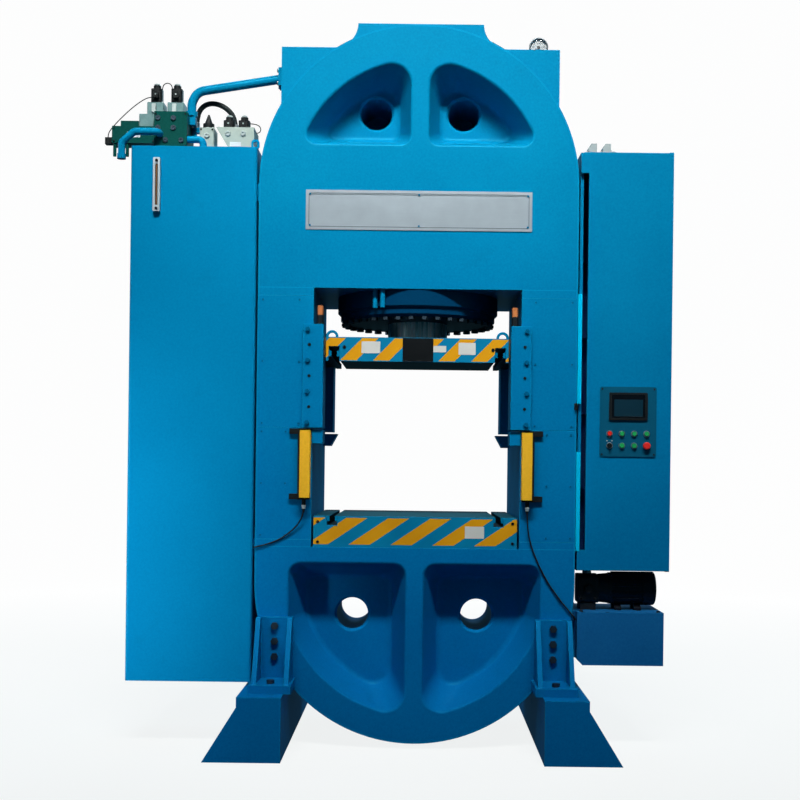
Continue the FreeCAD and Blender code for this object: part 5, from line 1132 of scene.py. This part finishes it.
# %% Plug levers
connector_y, lid_z = -0.300, 1.931
connector_x = (0.924, 0.999)
levers = []
for x in connector_x:
    levers.append(plate((x, connector_y - 0.035, lid_z + 0.020), 0.036, 0.010, 0.004, 0.003))
    for side, turn in ((-1, LEFT), (1, RIGHT)):
        lever_place = (x + side * 0.023, connector_y, lid_z + 0.024)
        levers.append(plate(lever_place, 0.026, 0.012, 0.003, 0.003, turn=turn))
settle(gather(levers), "plug_levers", polished)
print("levers", len(levers))

# %% Pump screws and fittings
shaft_y, shaft_z = -0.270, -0.377
pump_x, pump_half = 0.928, 0.075
pump_front = shaft_y - pump_half


def round_shaft(x, reach, count):
    """Places on a circle about the shaft, the first of them half a step from +Y."""
    angles = [math.radians((step + 0.5) * 360 / count) for step in range(count)]
    return [(x, shaft_y + reach * math.cos(angle), shaft_z + reach * math.sin(angle)) for angle in angles]


pump_screws = [(x, pump_front, z) for x in (0.892, 0.964) for z in (shaft_z - 0.052, shaft_z + 0.052)]
settle(repeated(screw(0.0078, 0.0070), pump_screws), "pump_screws", black_screw)
inlet_steps = [(0.0260, 0.0), (0.0268, 0.0015), (0.0268, 0.0120), (0.0240, 0.0150)]
inlet = turned((pump_x, pump_front - 0.004, shaft_z), inlet_steps, 6, FRONT)
ring_steps = [(0.0205, 0.0), (0.0205, 0.0030), (0.0150, 0.0036), (0.0140, 0.0010)]
inlet_ring = turned((pump_x, pump_front - 0.022, shaft_z), ring_steps, 32, FRONT)
outlet_steps = [(0.0250, 0.0), (0.0262, 0.0015), (0.0262, 0.0110), (0.0235, 0.0140)]
outlet = turned((pump_x, shaft_y, shaft_z + pump_half + 0.003), outlet_steps, 6)
settle(gather([inlet, inlet_ring]), "pump_inlet", black_screw)
settle(outlet, "pump_outlet", pale_steel)
bell_places = round_shaft(1.042, 0.0765, 8)
settle(repeated(screw(0.0058, 0.0060, 20, 0.55, LEFT), bell_places), "bell_screws", black_screw)
print("pump front", round(pump_front, 4))

# %% Motor bolts and base screws
bolt_steps = [(0.0062, -0.004), (0.0062, 0.0020), (0.0100, 0.0020), (0.0100, 0.0080), (0.0088, 0.0092)]
motor_bolts = repeated(turned(ORIGIN, bolt_steps, 6, RIGHT), round_shaft(1.2300, 0.078, 4))
base_low, base_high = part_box("pump_base")
base_inset = 0.030
base_places = [(x, y, base_high[2]) for x in (0.880, 1.286)
               for y in (base_low[1] + base_inset, base_high[1] - base_inset)]
base_steps = [(0.0130, 0.0), (0.0130, 0.0020), (0.0098, 0.0024), (0.0098, 0.0078), (0.0084, 0.0090)]
base_screws = repeated(turned(ORIGIN, base_steps, 6), base_places)
settle(gather([motor_bolts, base_screws]), "motor_bolts", dark_steel)
print("base screws", len(base_places))


# %% [markdown]
# ## Trim between the frame and the cabinet
# A bright profile is pushed over the front lip of the cabinet, beside the right column.  It is
# interrupted where a small black switch reads the cabinet door.  A rounded lug on the tank's lid
# takes a hook when the tank is lifted off.

# %% Edge strip, switch and lifting lug
strip_blue = enamel("strip_blue", (0.000, 0.420, 0.720), (0.001, 0.520, 0.820), 0.25)
door_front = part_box("cabinet_door")[0][1]
lip_x, lip_front = 0.8530, -0.4147
strip_depth = lip_front - door_front + 0.003
strips = [plate((lip_x, lip_front, (low + high) / 2), 0.021, high - low, strip_depth, 0.002, 0.0014, -0.0004)
          for low, high in ((0.605, 1.180), (-0.170, 0.350))]
settle(gather(strips), "edge_strips", strip_blue)
column_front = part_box("right_column")[0][1]
switch_x = 0.8345
switch_case = plate((switch_x, column_front, 0.588), 0.016, 0.036, 0.014, 0.004, 0.002, -0.0005)
button_steps = [(0.0050, 0.0), (0.0050, 0.0030), (0.0034, 0.0042)]
switch_button = turned((switch_x, column_front - 0.014, 0.594), button_steps, 24, FRONT)
settle(gather([switch_case, switch_button]), "door_switch", black_plastic)
tank_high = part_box("oil_tank")[1]
lug = thin_frame((tank_high[0] - 0.024, -0.430, tank_high[2] + 0.016), 0.044, 0.050, 0.012, 0.012, 0.017)
settle(lug, "tank_lug", tank_blue)
print("strip depth", round(strip_depth, 4))


# %% [markdown]
# ## Light curtain ends
# Each curtain is a yellow profile with a black cap on both ends and a black strip down the
# outer side of its front, which is painted shade where that side falls dark.  The lead leaves
# the lower end through a small bright gland.

# %% Caps, strips and glands
curtain_low, curtain_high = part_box("light_curtains")
curtain_half = 0.0325
curtain_x = curtain_high[0] - curtain_half
curtain_y = (curtain_low[1] + curtain_high[1]) / 2
curtain_middle = (curtain_low[2] + curtain_high[2]) / 2
curtain_height = curtain_high[2] - curtain_low[2]
ends = []
for side in (-1, 1):
    for z in (curtain_low[2] - 0.007, curtain_high[2] - 0.001):
        cap_place = (side * curtain_x, curtain_y, z)
        ends.append(plate(cap_place, 2 * curtain_half, 0.050, 0.008, 0.004, 0.002, -0.0005, UP))
    # Painted shade: a black strip where the curtain's outer side falls dark.
    shade_strip_place = (side * (curtain_high[0] - 0.0055), curtain_low[1], curtain_middle)
    ends.append(plate(shade_strip_place, 0.0100, curtain_height, 0.0014, 0.002, 0.001, 0.0002))
settle(gather(ends), "curtain_ends", black_plastic)
gland_steps = [(0.0086, 0.0), (0.0098, 0.0014), (0.0098, 0.0080), (0.0086, 0.0088),
               (0.0086, 0.0104), (0.0120, 0.0112), (0.0120, 0.0190), (0.0105, 0.0200)]
gland_drop = 0.018
gland_places = [(x, y, z - gland_drop) for x, y, z in (left_lead_route[0], right_lead_route[0])]
settle(repeated(turned(ORIGIN, gland_steps, 24), gland_places), "curtain_glands", pale_steel)
print("curtain middle", round(curtain_x, 4), round(curtain_y, 4))
